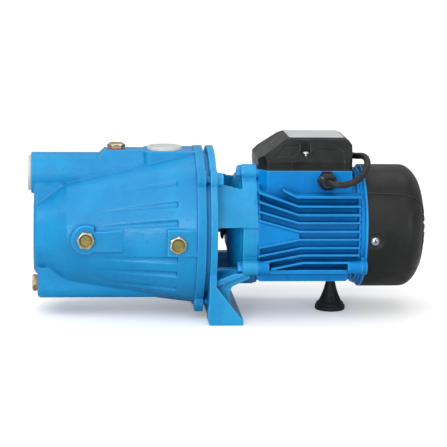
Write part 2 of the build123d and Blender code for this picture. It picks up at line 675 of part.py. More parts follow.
# ------------------------------------------------------------------ motor housing
HOUSING_X0, HOUSING_X1 = REAR_DISC_X1, 143.5
HOUSING_R = 59.5
HOUSING_BORE_R = 56.0
BOSS_R = 7.2             # bolt bosses
BOSS_L = 12.0
FIN_TIP_Y = 66.0
FIN_ROOT_Y = 36.0
FIN_T = 2.4
FIN_X1 = 141.6

# terminal box pedestal
PED_X0, PED_X1 = 33.7, 134.5
PED_TOP = 67.0
PED_HALF = 44.0
PED_INNER = [(PED_X0 + 4.0, -31.0), (PED_X0 + 11.4, -PED_HALF + 4.0),
             (PED_X1 - 4.0, -PED_HALF + 4.0), (PED_X1 - 4.0, PED_HALF - 4.0),
             (PED_X0 + 11.4, PED_HALF - 4.0), (PED_X0 + 4.0, 31.0)]        # x, y
PED_FLOOR = 60.5
COVER_SCREWS = [(84.0, -39.0), (84.0, 39.0)]                               # x, y
GLAND_X, GLAND_Z = 106.0, 57.5
GLAND_FACE_Y = -PED_HALF - 4.0       # face of the cable entry boss
GLAND_THREAD_R = 5.6

REAR_FOOT_X = 120.3
RAIL_Z = -60.0           # underside of the rear foot pad

# fin centre lines, top to bottom: x, z
FIN_LINES = [
    [(58.0, 48.8), (72.1, 41.8), (FIN_X1, 41.8)],
    [(HOUSING_X0, 46.4), (75.0, 31.6), (FIN_X1, 31.6)],
    [(HOUSING_X0, 36.7), (75.0, 22.4), (FIN_X1, 22.4)],
    [(HOUSING_X0, 26.1), (75.6, 13.6), (FIN_X1, 13.6)],
    [(HOUSING_X0, 16.6), (76.0, 4.4), (FIN_X1, 4.4)],
    [(HOUSING_X0, -13.4), (76.4, -4.4), (FIN_X1, -4.4)],
    [(HOUSING_X0, -22.6), (77.4, -13.5), (FIN_X1, -13.5)],
    [(38.0, -29.2), (79.0, -21.4), (FIN_X1, -21.4)],
    [(46.0, -36.6), (80.2, -29.6), (131.0, -29.6)],
]
# side views: x, z
BELLY_RAIL = [(HOUSING_X0, -40), (HOUSING_X0, -51.0), (36.5, -54.9), (130.0, -54.9),
              (137.0, -51.0), (137.0, -40)]
SIDE_RAIL = [(HOUSING_X0, -38), (HOUSING_X0, -46.5), (33.2, -50.3), (37.0, -53.1),
             (129.0, -53.1), (131.5, -50.5), (131.5, -38)]
FIN_WEB = [(HOUSING_X0, 15.5), (76.0, 3.4), (76.0, -3.4), (HOUSING_X0, -12.5)]


def fin(line, y0, y1):
    upper = [(x, z + FIN_T / 2) for x, z in line]
    lower = [(x, z - FIN_T / 2) for x, z in line]
    return plate_y(upper + lower[::-1], y0, y1)


def housing_casting():
    """Outside of the housing, still solid."""
    casting = cyl_x(HOUSING_X0, HOUSING_X1, HOUSING_R)
    # end collars
    casting += cyl_x(HOUSING_X0, HOUSING_X0 + 3.0, 63.5)
    casting += cyl_x(HOUSING_X1 - 3.0, HOUSING_X1, 63.0)
    # underside rail, flat between its sloped ends, and the rear foot pad
    casting += plate_y(BELLY_RAIL, -42.0, 42.0)
    casting += block(REAR_FOOT_X - 15.0, REAR_FOOT_X + 12.0, -12.0, 12.0, RAIL_Z, -50.0)
    for side in SIDES:
        for line in FIN_LINES:
            casting += fin(line, *span(side, FIN_ROOT_Y, FIN_TIP_Y))
        # lower rail that closes the fin field, with a boss at each end
        casting += block(HOUSING_X0 + 3, 136.0, *span(side, FIN_ROOT_Y, 62.5), -42.0, -38.0)
        casting += plate_y(SIDE_RAIL, *span(side, 30.0, 50.0))
        for x0, x1 in ((HOUSING_X0, HOUSING_X0 + BOSS_L), (129.0, HOUSING_X1)):
            casting += cyl_x(x0, x1, BOSS_R, side * LOWER_LUG_Y, LOWER_LUG_Z)
    # solid web between fins five and six near the pump end
    for side in SIDES:
        casting += plate_y(FIN_WEB, *span(side, FIN_ROOT_Y, FIN_TIP_Y - 2.0))
    # terminal box pedestal
    casting += plate_z([(PED_X0, -33), (PED_X0 + 9, -PED_HALF), (PED_X1, -PED_HALF),
                        (PED_X1, PED_HALF), (PED_X0 + 9, PED_HALF), (PED_X0, 33)],
                       36.0, PED_TOP)
    # cable entry boss
    casting += cyl_y(GLAND_FACE_Y, -PED_HALF + 4.0, 9.4, GLAND_X, GLAND_Z)
    return casting


def motor_housing():
    housing = housing_casting()
    housing -= cyl_x(HOUSING_X0 - 1, HOUSING_X1 + 1, HOUSING_BORE_R)
    # upper bolt bosses reach into the bore
    for y, z in MOTOR_BOLTS[:2]:
        housing += cyl_x(HOUSING_X0, HOUSING_X0 + BOSS_L, BOSS_R, y, z)
    # pedestal pocket, which leaves the metal round the boss on the cable side
    housing -= plate_z(PED_INNER, PED_FLOOR, PED_TOP + 1) \
        - cyl_x(HOUSING_X0, HOUSING_X0 + 13.0, 8.4, *MOTOR_BOLTS[1])
    # cable entry
    housing -= cyl_y(GLAND_FACE_Y - 1, -PED_HALF + 6.0, GLAND_THREAD_R, GLAND_X, GLAND_Z)
    housing -= block(GLAND_X - 5, GLAND_X + 5, -PED_HALF + 3.9, -PED_HALF + 9,
                     GLAND_Z - 3, 62)
    # trim the boss level with the pedestal
    housing -= block(HOUSING_X0 - 1, HOUSING_X1, -40, 40, PED_TOP, PED_TOP + 12)
    # lead hole from the winding space
    housing -= cyl_z(50.0, 61.5, 6.0, 126.0, 0)
    # screw holes
    for y, z in MOTOR_BOLTS:
        housing -= cyl_x(HOUSING_X0 - 1, HOUSING_X0 + 9.5, M6_R, y, z)
    for side in SIDES:
        housing -= cyl_x(130.0, HOUSING_X1 + 1, M6_R - 0.5, side * LOWER_LUG_Y, LOWER_LUG_Z)
    for x, y in COVER_SCREWS:
        housing -= cyl_z(PED_TOP - 9.0, PED_TOP + 1, 1.75, x, y)
    housing -= cyl_z(RAIL_Z - 2.0, RAIL_Z + 3.6, REAR_FOOT_SCREW_R, REAR_FOOT_X, 0)
    return housing


# ------------------------------------------------------------------ stator
SLOT_COUNT = 24
SLOT_PITCH = 360.0 / SLOT_COUNT
SLOT_MID_R = 39.0
# winding head section: distance from the stator end, radius
FRONT_WINDING = [(2, 34.0), (2, 50.0), (5, 52.0), (13, 51.0), (16, 47.0), (16, 38.0), (13, 34.0)]
REAR_WINDING = [(2, 34.0), (2, 50.0), (5, 52.0), (12, 51.0), (15, 47.0), (15, 38.0), (12, 34.0)]


def slot_boxes(size):
    return [radial_box(i * SLOT_PITCH, STATOR_MID_X, SLOT_MID_R, size)
            for i in range(SLOT_COUNT)]


def stator_core():
    core = ring_x(STATOR_X0, STATOR_X1, STATOR_BORE_R, HOUSING_BORE_R)
    return core - slot_boxes((STATOR_L + 2, 5.0, 12.0))


def stator_windings():
    front = revolve_x([(STATOR_X0 - dist, radius) for dist, radius in FRONT_WINDING])
    rear = revolve_x([(STATOR_X1 + dist, radius) for dist, radius in REAR_WINDING])
    return front + rear + slot_boxes((STATOR_L + 5, 4.6, 9.6))


# ------------------------------------------------------------------ end shield, fan cover
SHIELD_X0, SHIELD_X1 = HOUSING_X1, 152.0
SHIELD_SEAT_X = 150.0     # where the fan cover starts
SHIELD_R = 67.4
SHIELD_SPIGOT_R = 64.9
COVER_X1 = 218.0
COVER_R = SHIELD_R
COVER_T = 2.2
COVER_BEND_X = 190        # end of the straight wall
COVER_FLAT_R = 22.0       # flat middle of the end wall
# curved part of the cover wall: x, radius
COVER_OUTER = [(COVER_BEND_X, COVER_R), (199, 66.2), (207, 60.0), (213.5, 49.0),
               (217.2, 35.0), (COVER_X1, COVER_FLAT_R)]
COVER_INNER = [(COVER_BEND_X, COVER_R - COVER_T), (198.2, 63.9), (205.4, 58.4),
               (211.5, 48.2), (215.0, 34.6), (COVER_X1 - COVER_T, COVER_FLAT_R)]
FAN_SCREW_X, FAN_SCREW_Z = 158.0, -6.0     # the two side screws
FAN_SCREW_SEAT = 66.0                      # head seat, distance from the shaft


def rear_end_shield():
    shield = cyl_x(SHIELD_X0, SHIELD_SEAT_X, SHIELD_R)
    shield += cyl_x(SHIELD_SEAT_X, 165.0, SHIELD_SPIGOT_R)
    # lower lug pair that takes the through screws
    for side in SIDES:
        shield += cyl_x(SHIELD_X0, SHIELD_SEAT_X, 8.0, side * LOWER_LUG_Y, LOWER_LUG_Z)
    shield -= cyl_x(SHIELD_X1 - 2.0, 166.0, 62.0)
    # bearing hub and ribs
    shield += cyl_x(REAR_BEARING["x0"] - 0.5, SHIELD_X1 + 2.5, 23.0)
    for i in range(6):
        shield += radial_box(i * 60.0 + 30, 150.5, 42, (6, 3.0, 42))
    shield -= ring_x(SHIELD_X0 - 1, SHIELD_X0 + 4.0, 24.0, HOUSING_BORE_R)
    # bearing seat and shaft hole
    shield -= cyl_x(REAR_BEARING["x0"] - 3, REAR_BEARING["x1"] + 0.75, REAR_BEARING["outer_r"])
    shield -= cyl_x(REAR_BEARING["x0"] - 3, 160.0, 8.2)
    for side in SIDES:
        y = side * LOWER_LUG_Y
        shield -= cyl_x(SHIELD_X0 - 1, SHIELD_X1 + 1, M6_R - 0.3, y, LOWER_LUG_Z)
        shield -= cyl_x(SHIELD_SEAT_X - 4.5, SHIELD_X1 + 15, 5.2, y, LOWER_LUG_Z)
    # fan cover screw holes
    for side in SIDES:
        shield -= cyl_y(*span(side, 60, 68), 1.9, FAN_SCREW_X, FAN_SCREW_Z)
    shield -= cyl_z(-68, -60, 1.9, FAN_SCREW_X, 0)
    return shield


def rear_shield_screws():
    screws = []
    for side in SIDES:
        y, z = side * LOWER_LUG_Y, LOWER_LUG_Z
        screw = cyl_x(132.0, SHIELD_SEAT_X - 4.4, M6_R - 0.5, y, z)
        screw += cyl_x(SHIELD_SEAT_X - 4.5, SHIELD_SEAT_X - 0.5, 4.6, y, z)
        screw -= hex_x(SHIELD_SEAT_X - 2.9, 4.0, 4, y, z)
        screws.append(screw)
    return screws


def fan_cover_shell():
    tangents = [(1, 0, 0), (0, 0, -1)]
    outer_curve = Spline([(x, 0, radius) for x, radius in COVER_OUTER], tangents=tangents)
    inner_curve = Spline([(x, 0, radius) for x, radius in COVER_INNER], tangents=tangents)
    rim_outer = (SHIELD_SEAT_X, 0, COVER_R)
    rim_inner = (SHIELD_SEAT_X, 0, COVER_R - COVER_T)
    end_outer = (COVER_X1, 0, 0)
    end_inner = (COVER_X1 - COVER_T, 0, 0)
    face = make_face([
        Line(rim_outer, (COVER_BEND_X, 0, COVER_R)),
        outer_curve,
        Line((COVER_X1, 0, COVER_FLAT_R), end_outer),
        Line(end_outer, end_inner),
        Line(end_inner, (COVER_X1 - COVER_T, 0, COVER_FLAT_R)),
        inner_curve,
        Line((COVER_BEND_X, 0, COVER_R - COVER_T), rim_inner),
        Line(rim_inner, rim_outer)])
    return at(0, 0, 0) * revolve(face, Axis.X, 360)


def fan_cover():
    # outer and inner circle of air slots
    slots = [radial_box(i * 15.0, 211.0, 38.5, (20, 3.4, 23)) for i in range(24)]
    slots += [radial_box(i * 30.0, 215.0, 17.0, (12, 3.4, 12)) for i in range(12)]
    cover = fan_cover_shell() - slots
    # screw recesses with a flat floor, and their holes
    screw_xz = (FAN_SCREW_X, FAN_SCREW_Z)
    for side in SIDES:
        cover += cyl_y(*span(side, 63.8, 66.6), 7.4, *screw_xz) \
            & cyl_x(152, 170, COVER_R - 0.4)
        cover -= cyl_y(*span(side, FAN_SCREW_SEAT, 70.0), 5.4, *screw_xz)
    cover -= cyl_z(-70, -FAN_SCREW_SEAT, 5.4, FAN_SCREW_X, 0)
    cover -= cyl_x(SHIELD_SEAT_X - 1, 165.5, SHIELD_SPIGOT_R + 0.05)
    for side in SIDES:
        cover -= cyl_y(*span(side, 60, 70), 2.2, *screw_xz)
    cover -= cyl_z(-70, -60, 2.2, FAN_SCREW_X, 0)
    return cover


def pan_screw(head_r, head_h, shank_r, length):
    """Cross-recessed screw along +Z, head on top, seating plane at z = 0."""
    dome_r = head_r * 1.35
    head = rod(head_r, head_h)
    head &= Pos(0, 0, head_h - dome_r) * Sphere(dome_r)
    screw = head + Pos(0, 0, -length) * rod(shank_r, length + 0.5)
    slot_l, slot_w = head_r * 1.1, head_r * 0.26
    screw -= Pos(0, 0, head_h - 0.9) * Box(slot_l, slot_w, 1.2, align=MID)
    screw -= Pos(0, 0, head_h - 0.9) * Box(slot_w, slot_l, 1.2, align=MID)
    return screw


def fan_cover_screws():
    head = dict(head_r=4.4, head_h=2.4, shank_r=1.85)
    screws = [facing_side(FAN_SCREW_X, side * FAN_SCREW_SEAT, FAN_SCREW_Z, side)
              * pan_screw(**head, length=7.0) for side in SIDES]
    screws.append(at(FAN_SCREW_X, 0, -FAN_SCREW_SEAT) * Rot(180, 0, 0)
                  * pan_screw(**head, length=4.6))
    return screws


# ------------------------------------------------------------------ terminal box
BOX_TOP = 101.0
BOX_X0, BOX_X1 = PED_X0 - 0.4, PED_X1 + 0.4
BOX_HALF = PED_HALF + 0.4
GASKET_T = 0.8
COVER_SCREW_SEAT = 85.4
CAPACITOR_R = 14.6
CAPACITOR_Y, CAPACITOR_Z = 9.0, 82.6
TERMINAL_XS = (56.5, 63.0, 69.5)
TERMINAL_YS = (-19.5, -28.5)

# sunk fields in the cover sides: x, z
UPPER_FIELD = [(50.0, 82.0), (61.5, 94.2), (77.0, 94.2), (77.5, 90.0), (71.0, 82.0)]
LOWER_FIELD = [(95.5, 90.6), (120.0, 90.6), (125.5, 86.8), (125.5, 60.0), (70.0, 60.0),
               (70.0, 76.0), (78.5, 77.2)]
# notch in the sloping end, and the metal kept under it: x, z
NOTCH = [(37.0, 84.6), (52.0, 97.4), (48.0, 102.0), (33.0, 90.0)]
NOTCH_FLOOR = [(30.0, 77.0), (37.2, 82.4), (51.0, 93.2), (52.0, 70), (30, 70)]


def both_ways(half_outline):
    """(y, value) points of the +Y half, mirrored first so the outline runs -Y to +Y."""
    return [(-y, z) for y, z in half_outline] + half_outline[::-1]


def box_shape(inset, bottom):
    """Outer shape of the terminal cover, drawn in by inset on every outer face."""
    part = inset * 0.4       # share of the inset at chamfer corners
    most = inset * 0.8
    x0, x1, half, top = BOX_X0 + inset, BOX_X1 - inset, BOX_HALF - inset, BOX_TOP - inset
    side_view = plate_y([(x0, bottom), (x0, 79.0), (60.5 + part, 98.6 - inset * 0.6),
                         (65.5 + inset * 0.2, top), (126.5 - inset * 0.3, top),
                         (131.5 - most, 98.8 - most), (x1, 94.0), (x1, bottom)], -60, 60)
    end_view = plate_x(both_ways([(half, bottom), (half, 76.5), (33.0 - most, 99.0 - most),
                                  (29.5 - part, top)]), 20, 150)
    plan = plate_z([(x0, -33.0 + part), (PED_X0 + 9.0 + part, -half),
                    (PED_X1 - 4.0 - part, -half), (x1, -40.0 + part), (x1, 40.0 - part),
                    (PED_X1 - 4.0 - part, half), (PED_X0 + 9.0 + part, half),
                    (x0, 33.0 - part)], bottom, BOX_TOP + 5)
    return side_view & end_view & plan


def terminal_cover():
    cover = box_shape(0.0, PED_TOP + GASKET_T)
    inside = box_shape(2.4, PED_TOP - 1)
    # columns that carry the screws
    for side, (x, y) in zip(SIDES, COVER_SCREWS):
        inside -= block(x - 7.4, x + 7.4, *span(side, 30.5, BOX_HALF),
                        PED_TOP - 2, BOX_TOP + 2)
    cover -= inside
    # sunk fields, one on each side of the screw along X
    for side in SIDES:
        for field, depth in ((UPPER_FIELD, 1.2), (LOWER_FIELD, 0.9)):
            cover -= plate_y(field, *span(side, 20.0, 60.0)) - box_shape(depth, 60)
    # round-ended screw recesses, open to the sides, and their holes
    for side, (x, y) in zip(SIDES, COVER_SCREWS):
        cover -= block(x - 5.0, x + 5.0, *span(side, 33.8, 50.0), COVER_SCREW_SEAT, BOX_TOP + 2)
        cover -= cyl_z(COVER_SCREW_SEAT, BOX_TOP + 3, 5.0, x, side * 38.8)
        cover -= cyl_z(60.0, 90.0, 2.1, x, y)
    cover -= plate_y(NOTCH, -7.0, 7.0) - plate_y(NOTCH_FLOOR, -12, 12)
    return cover


def terminal_gasket():
    top = PED_TOP + GASKET_T
    half = PED_HALF - 0.3
    gasket = plate_z([(PED_X0 + 0.4, -32.6), (PED_X0 + 9.2, -half), (PED_X1 - 0.4, -half),
                      (PED_X1 - 0.4, half), (PED_X0 + 9.2, half), (PED_X0 + 0.4, 32.6)],
                     PED_TOP, top)
    gasket -= plate_z(PED_INNER, PED_TOP - 1, PED_TOP + 2)
    # eyes round the cover screws
    for x, y in COVER_SCREWS:
        gasket += cyl_z(PED_TOP, top, 4.0, x, y) & block(0, 200, -PED_HALF, PED_HALF, 60, 80)
        gasket -= cyl_z(PED_TOP - 1, PED_TOP + 2, 2.1, x, y)
    return gasket


def terminal_cover_screws():
    return [at(x, y, COVER_SCREW_SEAT)
            * pan_screw(head_r=3.9, head_h=2.3, shank_r=1.7, length=24.5)
            for x, y in COVER_SCREWS]


def nameplate():
    return plate_z([(67.0, -26.5), (69.0, -28.0), (125.0, -28.0), (127.0, -26.5),
                    (127.0, 26.5), (125.0, 28.0), (69.0, 28.0), (67.0, 26.5)],
                   BOX_TOP, BOX_TOP + 0.6)


def capacitor():
    can = cyl_x(65.0, 121.0, CAPACITOR_R, CAPACITOR_Y, CAPACITOR_Z)
    can += cyl_x(121.0, 123.0, 13.0, CAPACITOR_Y, CAPACITOR_Z)
    # blade terminals
    for y in (CAPACITOR_Y - 4.5, CAPACITOR_Y + 4.5):
        can += block(122.9, 128.0, y - 2.6, y + 2.6, 82.2, 83.0)
    return can


def capacitor_clip():
    clip = ring_x(86.0, 96.0, CAPACITOR_R, CAPACITOR_R + 0.8, CAPACITOR_Y, CAPACITOR_Z) \
        - block(80, 100, -12, 30, 84, 110)
    clip += block(86.0, 96.0, 5.0, 13.0, PED_FLOOR, 68.0)
    clip -= cyl_x(80, 100, CAPACITOR_R, CAPACITOR_Y, CAPACITOR_Z)
    return clip


def terminal_block():
    body = block(52.0, 74.0, -34.0, -14.0, PED_FLOOR, 76.0)
    for x in TERMINAL_XS:
        for y in TERMINAL_YS:
            body -= cyl_z(66.0, 77.0, 2.1, x, y)
        body -= cyl_y(-35, -13, 1.7, x, 64.6)
    return body


def terminal_block_screws():
    return [cyl_z(67.0, 74.0, 2.0, x, y) - block(x - 3, x + 3, y - 0.35, y + 0.35, 73.0, 75.0)
            for x in TERMINAL_XS for y in TERMINAL_YS]


# ------------------------------------------------------------------ cable
CORD_R = 3.5
CORD_HOLE_R = CORD_R + 0.3
GLAND_HEX_H = 4.0
GLAND_NUT_Y = GLAND_FACE_Y - GLAND_HEX_H
CORD_END_Y = 64.0

# cord centre line, straight out of the gland, then round the fan end: x, y, z
CORD_PATH = [(GLAND_X, y, GLAND_Z) for y in (-38.0, -44.0, -50.0, -56.0, -60.5, -64.0)] + [
    (GLAND_X + 1.2, -69.5, GLAND_Z), (GLAND_X + 6.5, -75.0, GLAND_Z - 0.6),
    (124.0, -76.5, 57.6), (135.0, -73.5, 61.6), (144.0, -64.5, 68.4), (149.2, -51.0, 75.0),
    (150.2, -35.0, 79.6), (148.0, -16.0, 79.4), (144.0, 4.0, 76.6), (141.5, 24.0, 75.0),
    (139.0, 42.0, 73.0), (130.0, 56.0, 71.0), (112.0, 62.5, 69.0), (88.0, CORD_END_Y, 67.0),
    (66.0, CORD_END_Y, 64.0)]
CORE_OFFSETS = ((0.0, 1.9), (1.7, -1.1), (-1.7, -1.1))     # y, z from the cord centre
# x, z, spread of the offsets in y and in z
CORE_STATIONS = ((65.2, 63.8, 0.85, 0.85), (54.0, 62.0, 1.6, 1.7), (40.0, 59.0, 2.8, 3.0))


def cable_gland_body():
    gland = cyl_y(GLAND_FACE_Y, GLAND_FACE_Y + 8.0, GLAND_THREAD_R, GLAND_X, GLAND_Z)
    gland += facing_side(GLAND_X, GLAND_FACE_Y, GLAND_Z, -1) * hexagon(18.5, GLAND_HEX_H)
    gland += cyl_y(GLAND_FACE_Y - 8.0, GLAND_FACE_Y, 7.6, GLAND_X, GLAND_Z)
    gland -= cyl_y(-80.0, -30.0, CORD_HOLE_R, GLAND_X, GLAND_Z)
    return gland


def cable_gland_nut():
    base = GLAND_NUT_Y
    nut = facing_side(GLAND_X, base - 0.1, GLAND_Z, -1) * rod(9.7, 7.0)
    nut += facing_side(GLAND_X, base - 7.1, GLAND_Z, -1) * cone(9.7, 6.6, 3.4)
    # grip grooves
    grooves = []
    for i in range(8):
        angle = math.radians(i * 45.0)
        grooves.append(cyl_y(base - 12, base + 1, 1.5, GLAND_X + 10.2 * math.cos(angle),
                             GLAND_Z + 10.2 * math.sin(angle)))
    nut -= grooves
    nut -= cyl_y(base - 4.0, base + 1, 7.62, GLAND_X, GLAND_Z)
    nut -= cyl_y(base - 14.0, base + 1, CORD_HOLE_R, GLAND_X, GLAND_Z)
    return nut


def power_cord():
    return wire(Spline([(x, y, AXIS_Z + z) for x, y, z in CORD_PATH]), CORD_R)


def cord_cores():
    """Three bare cores that fan out of the cord end."""
    cores = []
    for off_y, off_z in CORE_OFFSETS:
        path = Spline([(x, CORD_END_Y + off_y * spread_y, AXIS_Z + z + off_z * spread_z)
                       for x, z, spread_y, spread_z in CORE_STATIONS])
        cores.append(wire(path, 1.15))
    return cores


# ------------------------------------------------------------------ rear foot
REAR_FOOT_SCREW_R = 2.9
SCREW_SEAT_Z = -89.0


def rear_foot():
    foot = revolve_z([(3.4, SCREW_SEAT_Z), (3.4, RAIL_Z), (5.2, RAIL_Z), (5.5, -65.5),
                      (7.4, -73.0), (10.2, -80.5), (12.6, -85.5), (15.2, -87.6),
                      (15.2, -89.4), (16.7, -90.4), (16.7, -94.2), (15.9, GROUND_Z),
                      (5.6, GROUND_Z), (5.6, SCREW_SEAT_Z)], REAR_FOOT_X, 0)
    # leaning flutes round the cone
    for i in range(12):
        foot -= (at(REAR_FOOT_X, 0, 0) * Rot(0, 0, i * 30.0) * Pos(11.2, 0, -86.0)
                 * Rot(0, -24, 0) * rod(1.5, 20.0))
    return foot


def rear_foot_screw():
    screw = cyl_z(SCREW_SEAT_Z, -57.6, REAR_FOOT_SCREW_R, REAR_FOOT_X, 0)
    screw += cyl_z(SCREW_SEAT_Z - 4, SCREW_SEAT_Z, 5.0, REAR_FOOT_X, 0)
    screw -= at(REAR_FOOT_X, 0, -93.5) * hexagon(4.6, 3)
    return screw


# ------------------------------------------------------------------ build
# each function is named after the file it fills
PIECES = (
    pump_body, suction_port_cap, discharge_port_cap, priming_plug, drain_plug,
    gauge_port_plugs, plug_washers,
    ejector_nozzle, venturi_tube, diffuser, impeller, impeller_key, impeller_nut,
    seal_plate, casing_seal_ring, seal_seat_cup, seal_seat, seal_head, seal_spring,
    water_slinger, bracket, casing_bolts, motor_bolts,
    shaft, wave_washer, rotor_core, rotor_end_rings, cooling_fan, fan_circlip,
    motor_housing, stator_core, stator_windings,
    rear_end_shield, rear_shield_screws, fan_cover, fan_cover_screws,
    terminal_cover, terminal_gasket, terminal_cover_screws, nameplate,
    capacitor, capacitor_clip, terminal_block, terminal_block_screws,
    cable_gland_body, cable_gland_nut, power_cord, cord_cores,
    rear_foot, rear_foot_screw,
)


def main():
    os.makedirs("parts", exist_ok=True)
    for piece in PIECES:
        save(piece.__name__, piece())
    for end, sizes in (("front", FRONT_BEARING), ("rear", REAR_BEARING)):
        for part, built in ball_bearing(**sizes).items():
            save(f"{end}_bearing_{part}", built)


main()
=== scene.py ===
import bpy
import bmesh
import json
import math
import numpy as np
from mathutils import Matrix, Vector, noise


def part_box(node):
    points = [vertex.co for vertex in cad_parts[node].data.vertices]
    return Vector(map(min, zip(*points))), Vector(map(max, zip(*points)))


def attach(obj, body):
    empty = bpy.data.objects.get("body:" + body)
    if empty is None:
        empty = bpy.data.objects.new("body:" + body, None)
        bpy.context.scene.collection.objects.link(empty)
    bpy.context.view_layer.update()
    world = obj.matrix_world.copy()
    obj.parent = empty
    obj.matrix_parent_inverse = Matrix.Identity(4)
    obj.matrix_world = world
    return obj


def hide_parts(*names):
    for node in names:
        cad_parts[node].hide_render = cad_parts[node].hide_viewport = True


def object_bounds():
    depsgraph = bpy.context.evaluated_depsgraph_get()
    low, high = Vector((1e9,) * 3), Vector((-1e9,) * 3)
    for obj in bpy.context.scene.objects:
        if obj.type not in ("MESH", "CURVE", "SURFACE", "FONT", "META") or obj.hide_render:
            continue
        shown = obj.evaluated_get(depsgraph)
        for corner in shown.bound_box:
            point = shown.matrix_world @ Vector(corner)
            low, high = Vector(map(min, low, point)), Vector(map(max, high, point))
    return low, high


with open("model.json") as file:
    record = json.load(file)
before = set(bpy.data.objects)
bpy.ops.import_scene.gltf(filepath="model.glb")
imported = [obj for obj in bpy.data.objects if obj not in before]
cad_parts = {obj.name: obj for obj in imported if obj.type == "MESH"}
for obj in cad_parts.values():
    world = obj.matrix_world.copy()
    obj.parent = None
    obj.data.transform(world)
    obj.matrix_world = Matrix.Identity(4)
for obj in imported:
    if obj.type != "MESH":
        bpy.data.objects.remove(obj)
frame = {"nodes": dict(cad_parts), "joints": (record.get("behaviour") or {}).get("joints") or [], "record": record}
NODES = frame["nodes"]
SLOT = {part["node"]: part["material_slot"] for part in frame["record"]["subparts"]}
BODY = {
    node: body
    for body, nodes in frame["record"]["behaviour"]["bodies"].items()
    for node in nodes
}
CAD_LO, CAD_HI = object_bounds()
AXIS_Z = next(j for j in frame["joints"] if j["name"] == "rotor_spin")["pos_m"][2]
SCENE = bpy.context.scene

MM = 0.001
X, Y, Z = Vector((1, 0, 0)), Vector((0, 1, 0)), Vector((0, 0, 1))
MATS = {}

# ---------------------------------------------------------------- dimensions
WELD = 2e-6

# screws, in mm from the shaft axis
FAN_SCREW_X, FAN_SCREW_OUT, FAN_SCREW_Z = 158, 66, -6
COVER_SCREW_X, COVER_SCREW_Y, COVER_SCREW_Z = 84, 39, 85.4
FAN_SCREW_TOP = 2.4 * MM
COVER_SCREW_TOP = 2.3 * MM
PLUG_TOP = 6.1 * MM

THREAD_PITCH = 2.309 * MM
THREAD_RADIUS = 15.15 * MM
THREAD_GAP = 0.03 * MM  # root of the thread inside the bore
THREAD_HEIGHT = 0.62 * MM
THREAD_BACKING = 0.4 * MM  # how far the ring reaches into the wall
THREAD_CREST = 0.92  # share of the pitch the ridge covers
THREAD_SIDES, STEPS_PER_TURN = ((96, 8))

FLOOR_HALF = 30.0
FLOOR_GAP = 0.0002


def at(x, y, z):
    """A place in mm from the shaft axis, in metres."""
    return Vector((x, y, z)) * MM + Vector((0, 0, AXIS_Z))


# ---------------------------------------------------------------- mesh helpers
def add_object(name, data):
    ob = bpy.data.objects.new(name, data)
    SCENE.collection.objects.link(ob)
    return ob


def apply_modifier(ob, kind, **settings):
    modifier = ob.modifiers.new(kind.lower(), kind)
    for key, value in settings.items():
        setattr(modifier, key, value)
    bpy.context.view_layer.update()
    depsgraph = bpy.context.evaluated_depsgraph_get()
    me = bpy.data.meshes.new_from_object(ob.evaluated_get(depsgraph))
    ob.modifiers.clear()
    ob.data = me


def stand_in(node, name):
    """A free copy of a CAD node's mesh, welded, with no custom normals."""
    me = NODES[node].data.copy()
    me.materials.clear()
    if "custom_normal" in me.attributes:
        me.attributes.remove(me.attributes["custom_normal"])
    ob = add_object(name, me)
    bm = bmesh.new()
    bm.from_mesh(me)
    bmesh.ops.remove_doubles(bm, verts=bm.verts, dist=WELD)
    bmesh.ops.recalc_face_normals(bm, faces=bm.faces)
    bm.to_mesh(me)
    bm.free()
    return ob


def read_vectors(items, field):
    values = np.zeros(len(items) * 3, np.float32)
    items.foreach_get(field, values)
    return values.reshape(-1, 3).astype(float)


def set_clamped(me, points, node):
    """Writes the vertices, kept inside the CAD node's box."""
    low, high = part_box(node)
    points = np.minimum(np.maximum(points, np.array(low)), np.array(high))
    me.vertices.foreach_set("co", points.astype(np.float32).ravel())
    me.update()


def shade(me, sharp_angle=None):
    me.shade_smooth()
    if sharp_angle is not None:
        me.set_sharp_from_angle(angle=math.radians(sharp_angle))


def take_over(ob, node, finish):
    """Puts ob in the place of a CAD node, with the node's own finish unless another is named."""
    ob.data.materials.clear()
    ob.data.materials.append(MATS[finish or SLOT[node]])
    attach(ob, BODY[node])
    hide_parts(node)
    return ob


def skin_noise(points, cell):
    """Two octaves of noise, the broad one about a cell across."""
    broad = points * (1.0 / cell)
    fine = broad * 2.3 + (7.1, 0, 0)
    return np.array([
        noise.noise(Vector(a)) + 0.5 * noise.noise(Vector(b))
        for a, b in zip(broad.tolist(), fine.tolist())
    ])


def cast(node, name, voxel, smooth=1, uneven=0.0, cell=5 * MM, keep=None, push=None, finish=None):
    """A casting or moulding: remeshed, edges softened, skin a little uneven.

    keep(points) scales the unevenness, push(points, normals) reshapes the skin."""
    ob = stand_in(node, name)
    size = voxel * 1.0
    apply_modifier(ob, "REMESH", mode="VOXEL", voxel_size=size)
    apply_modifier(ob, "SMOOTH", factor=0.5, iterations=smooth)
    me = ob.data
    points = read_vectors(me.vertices, "co")
    normals = read_vectors(me.vertex_normals, "vector")
    if uneven:
        height = skin_noise(points, cell)
        if keep:
            height *= keep(points)
        points += normals * (height * uneven)[:, None]
    if push:
        points = push(points, normals)
    set_clamped(me, points, node)
    shade(me)
    return take_over(ob, node, finish)


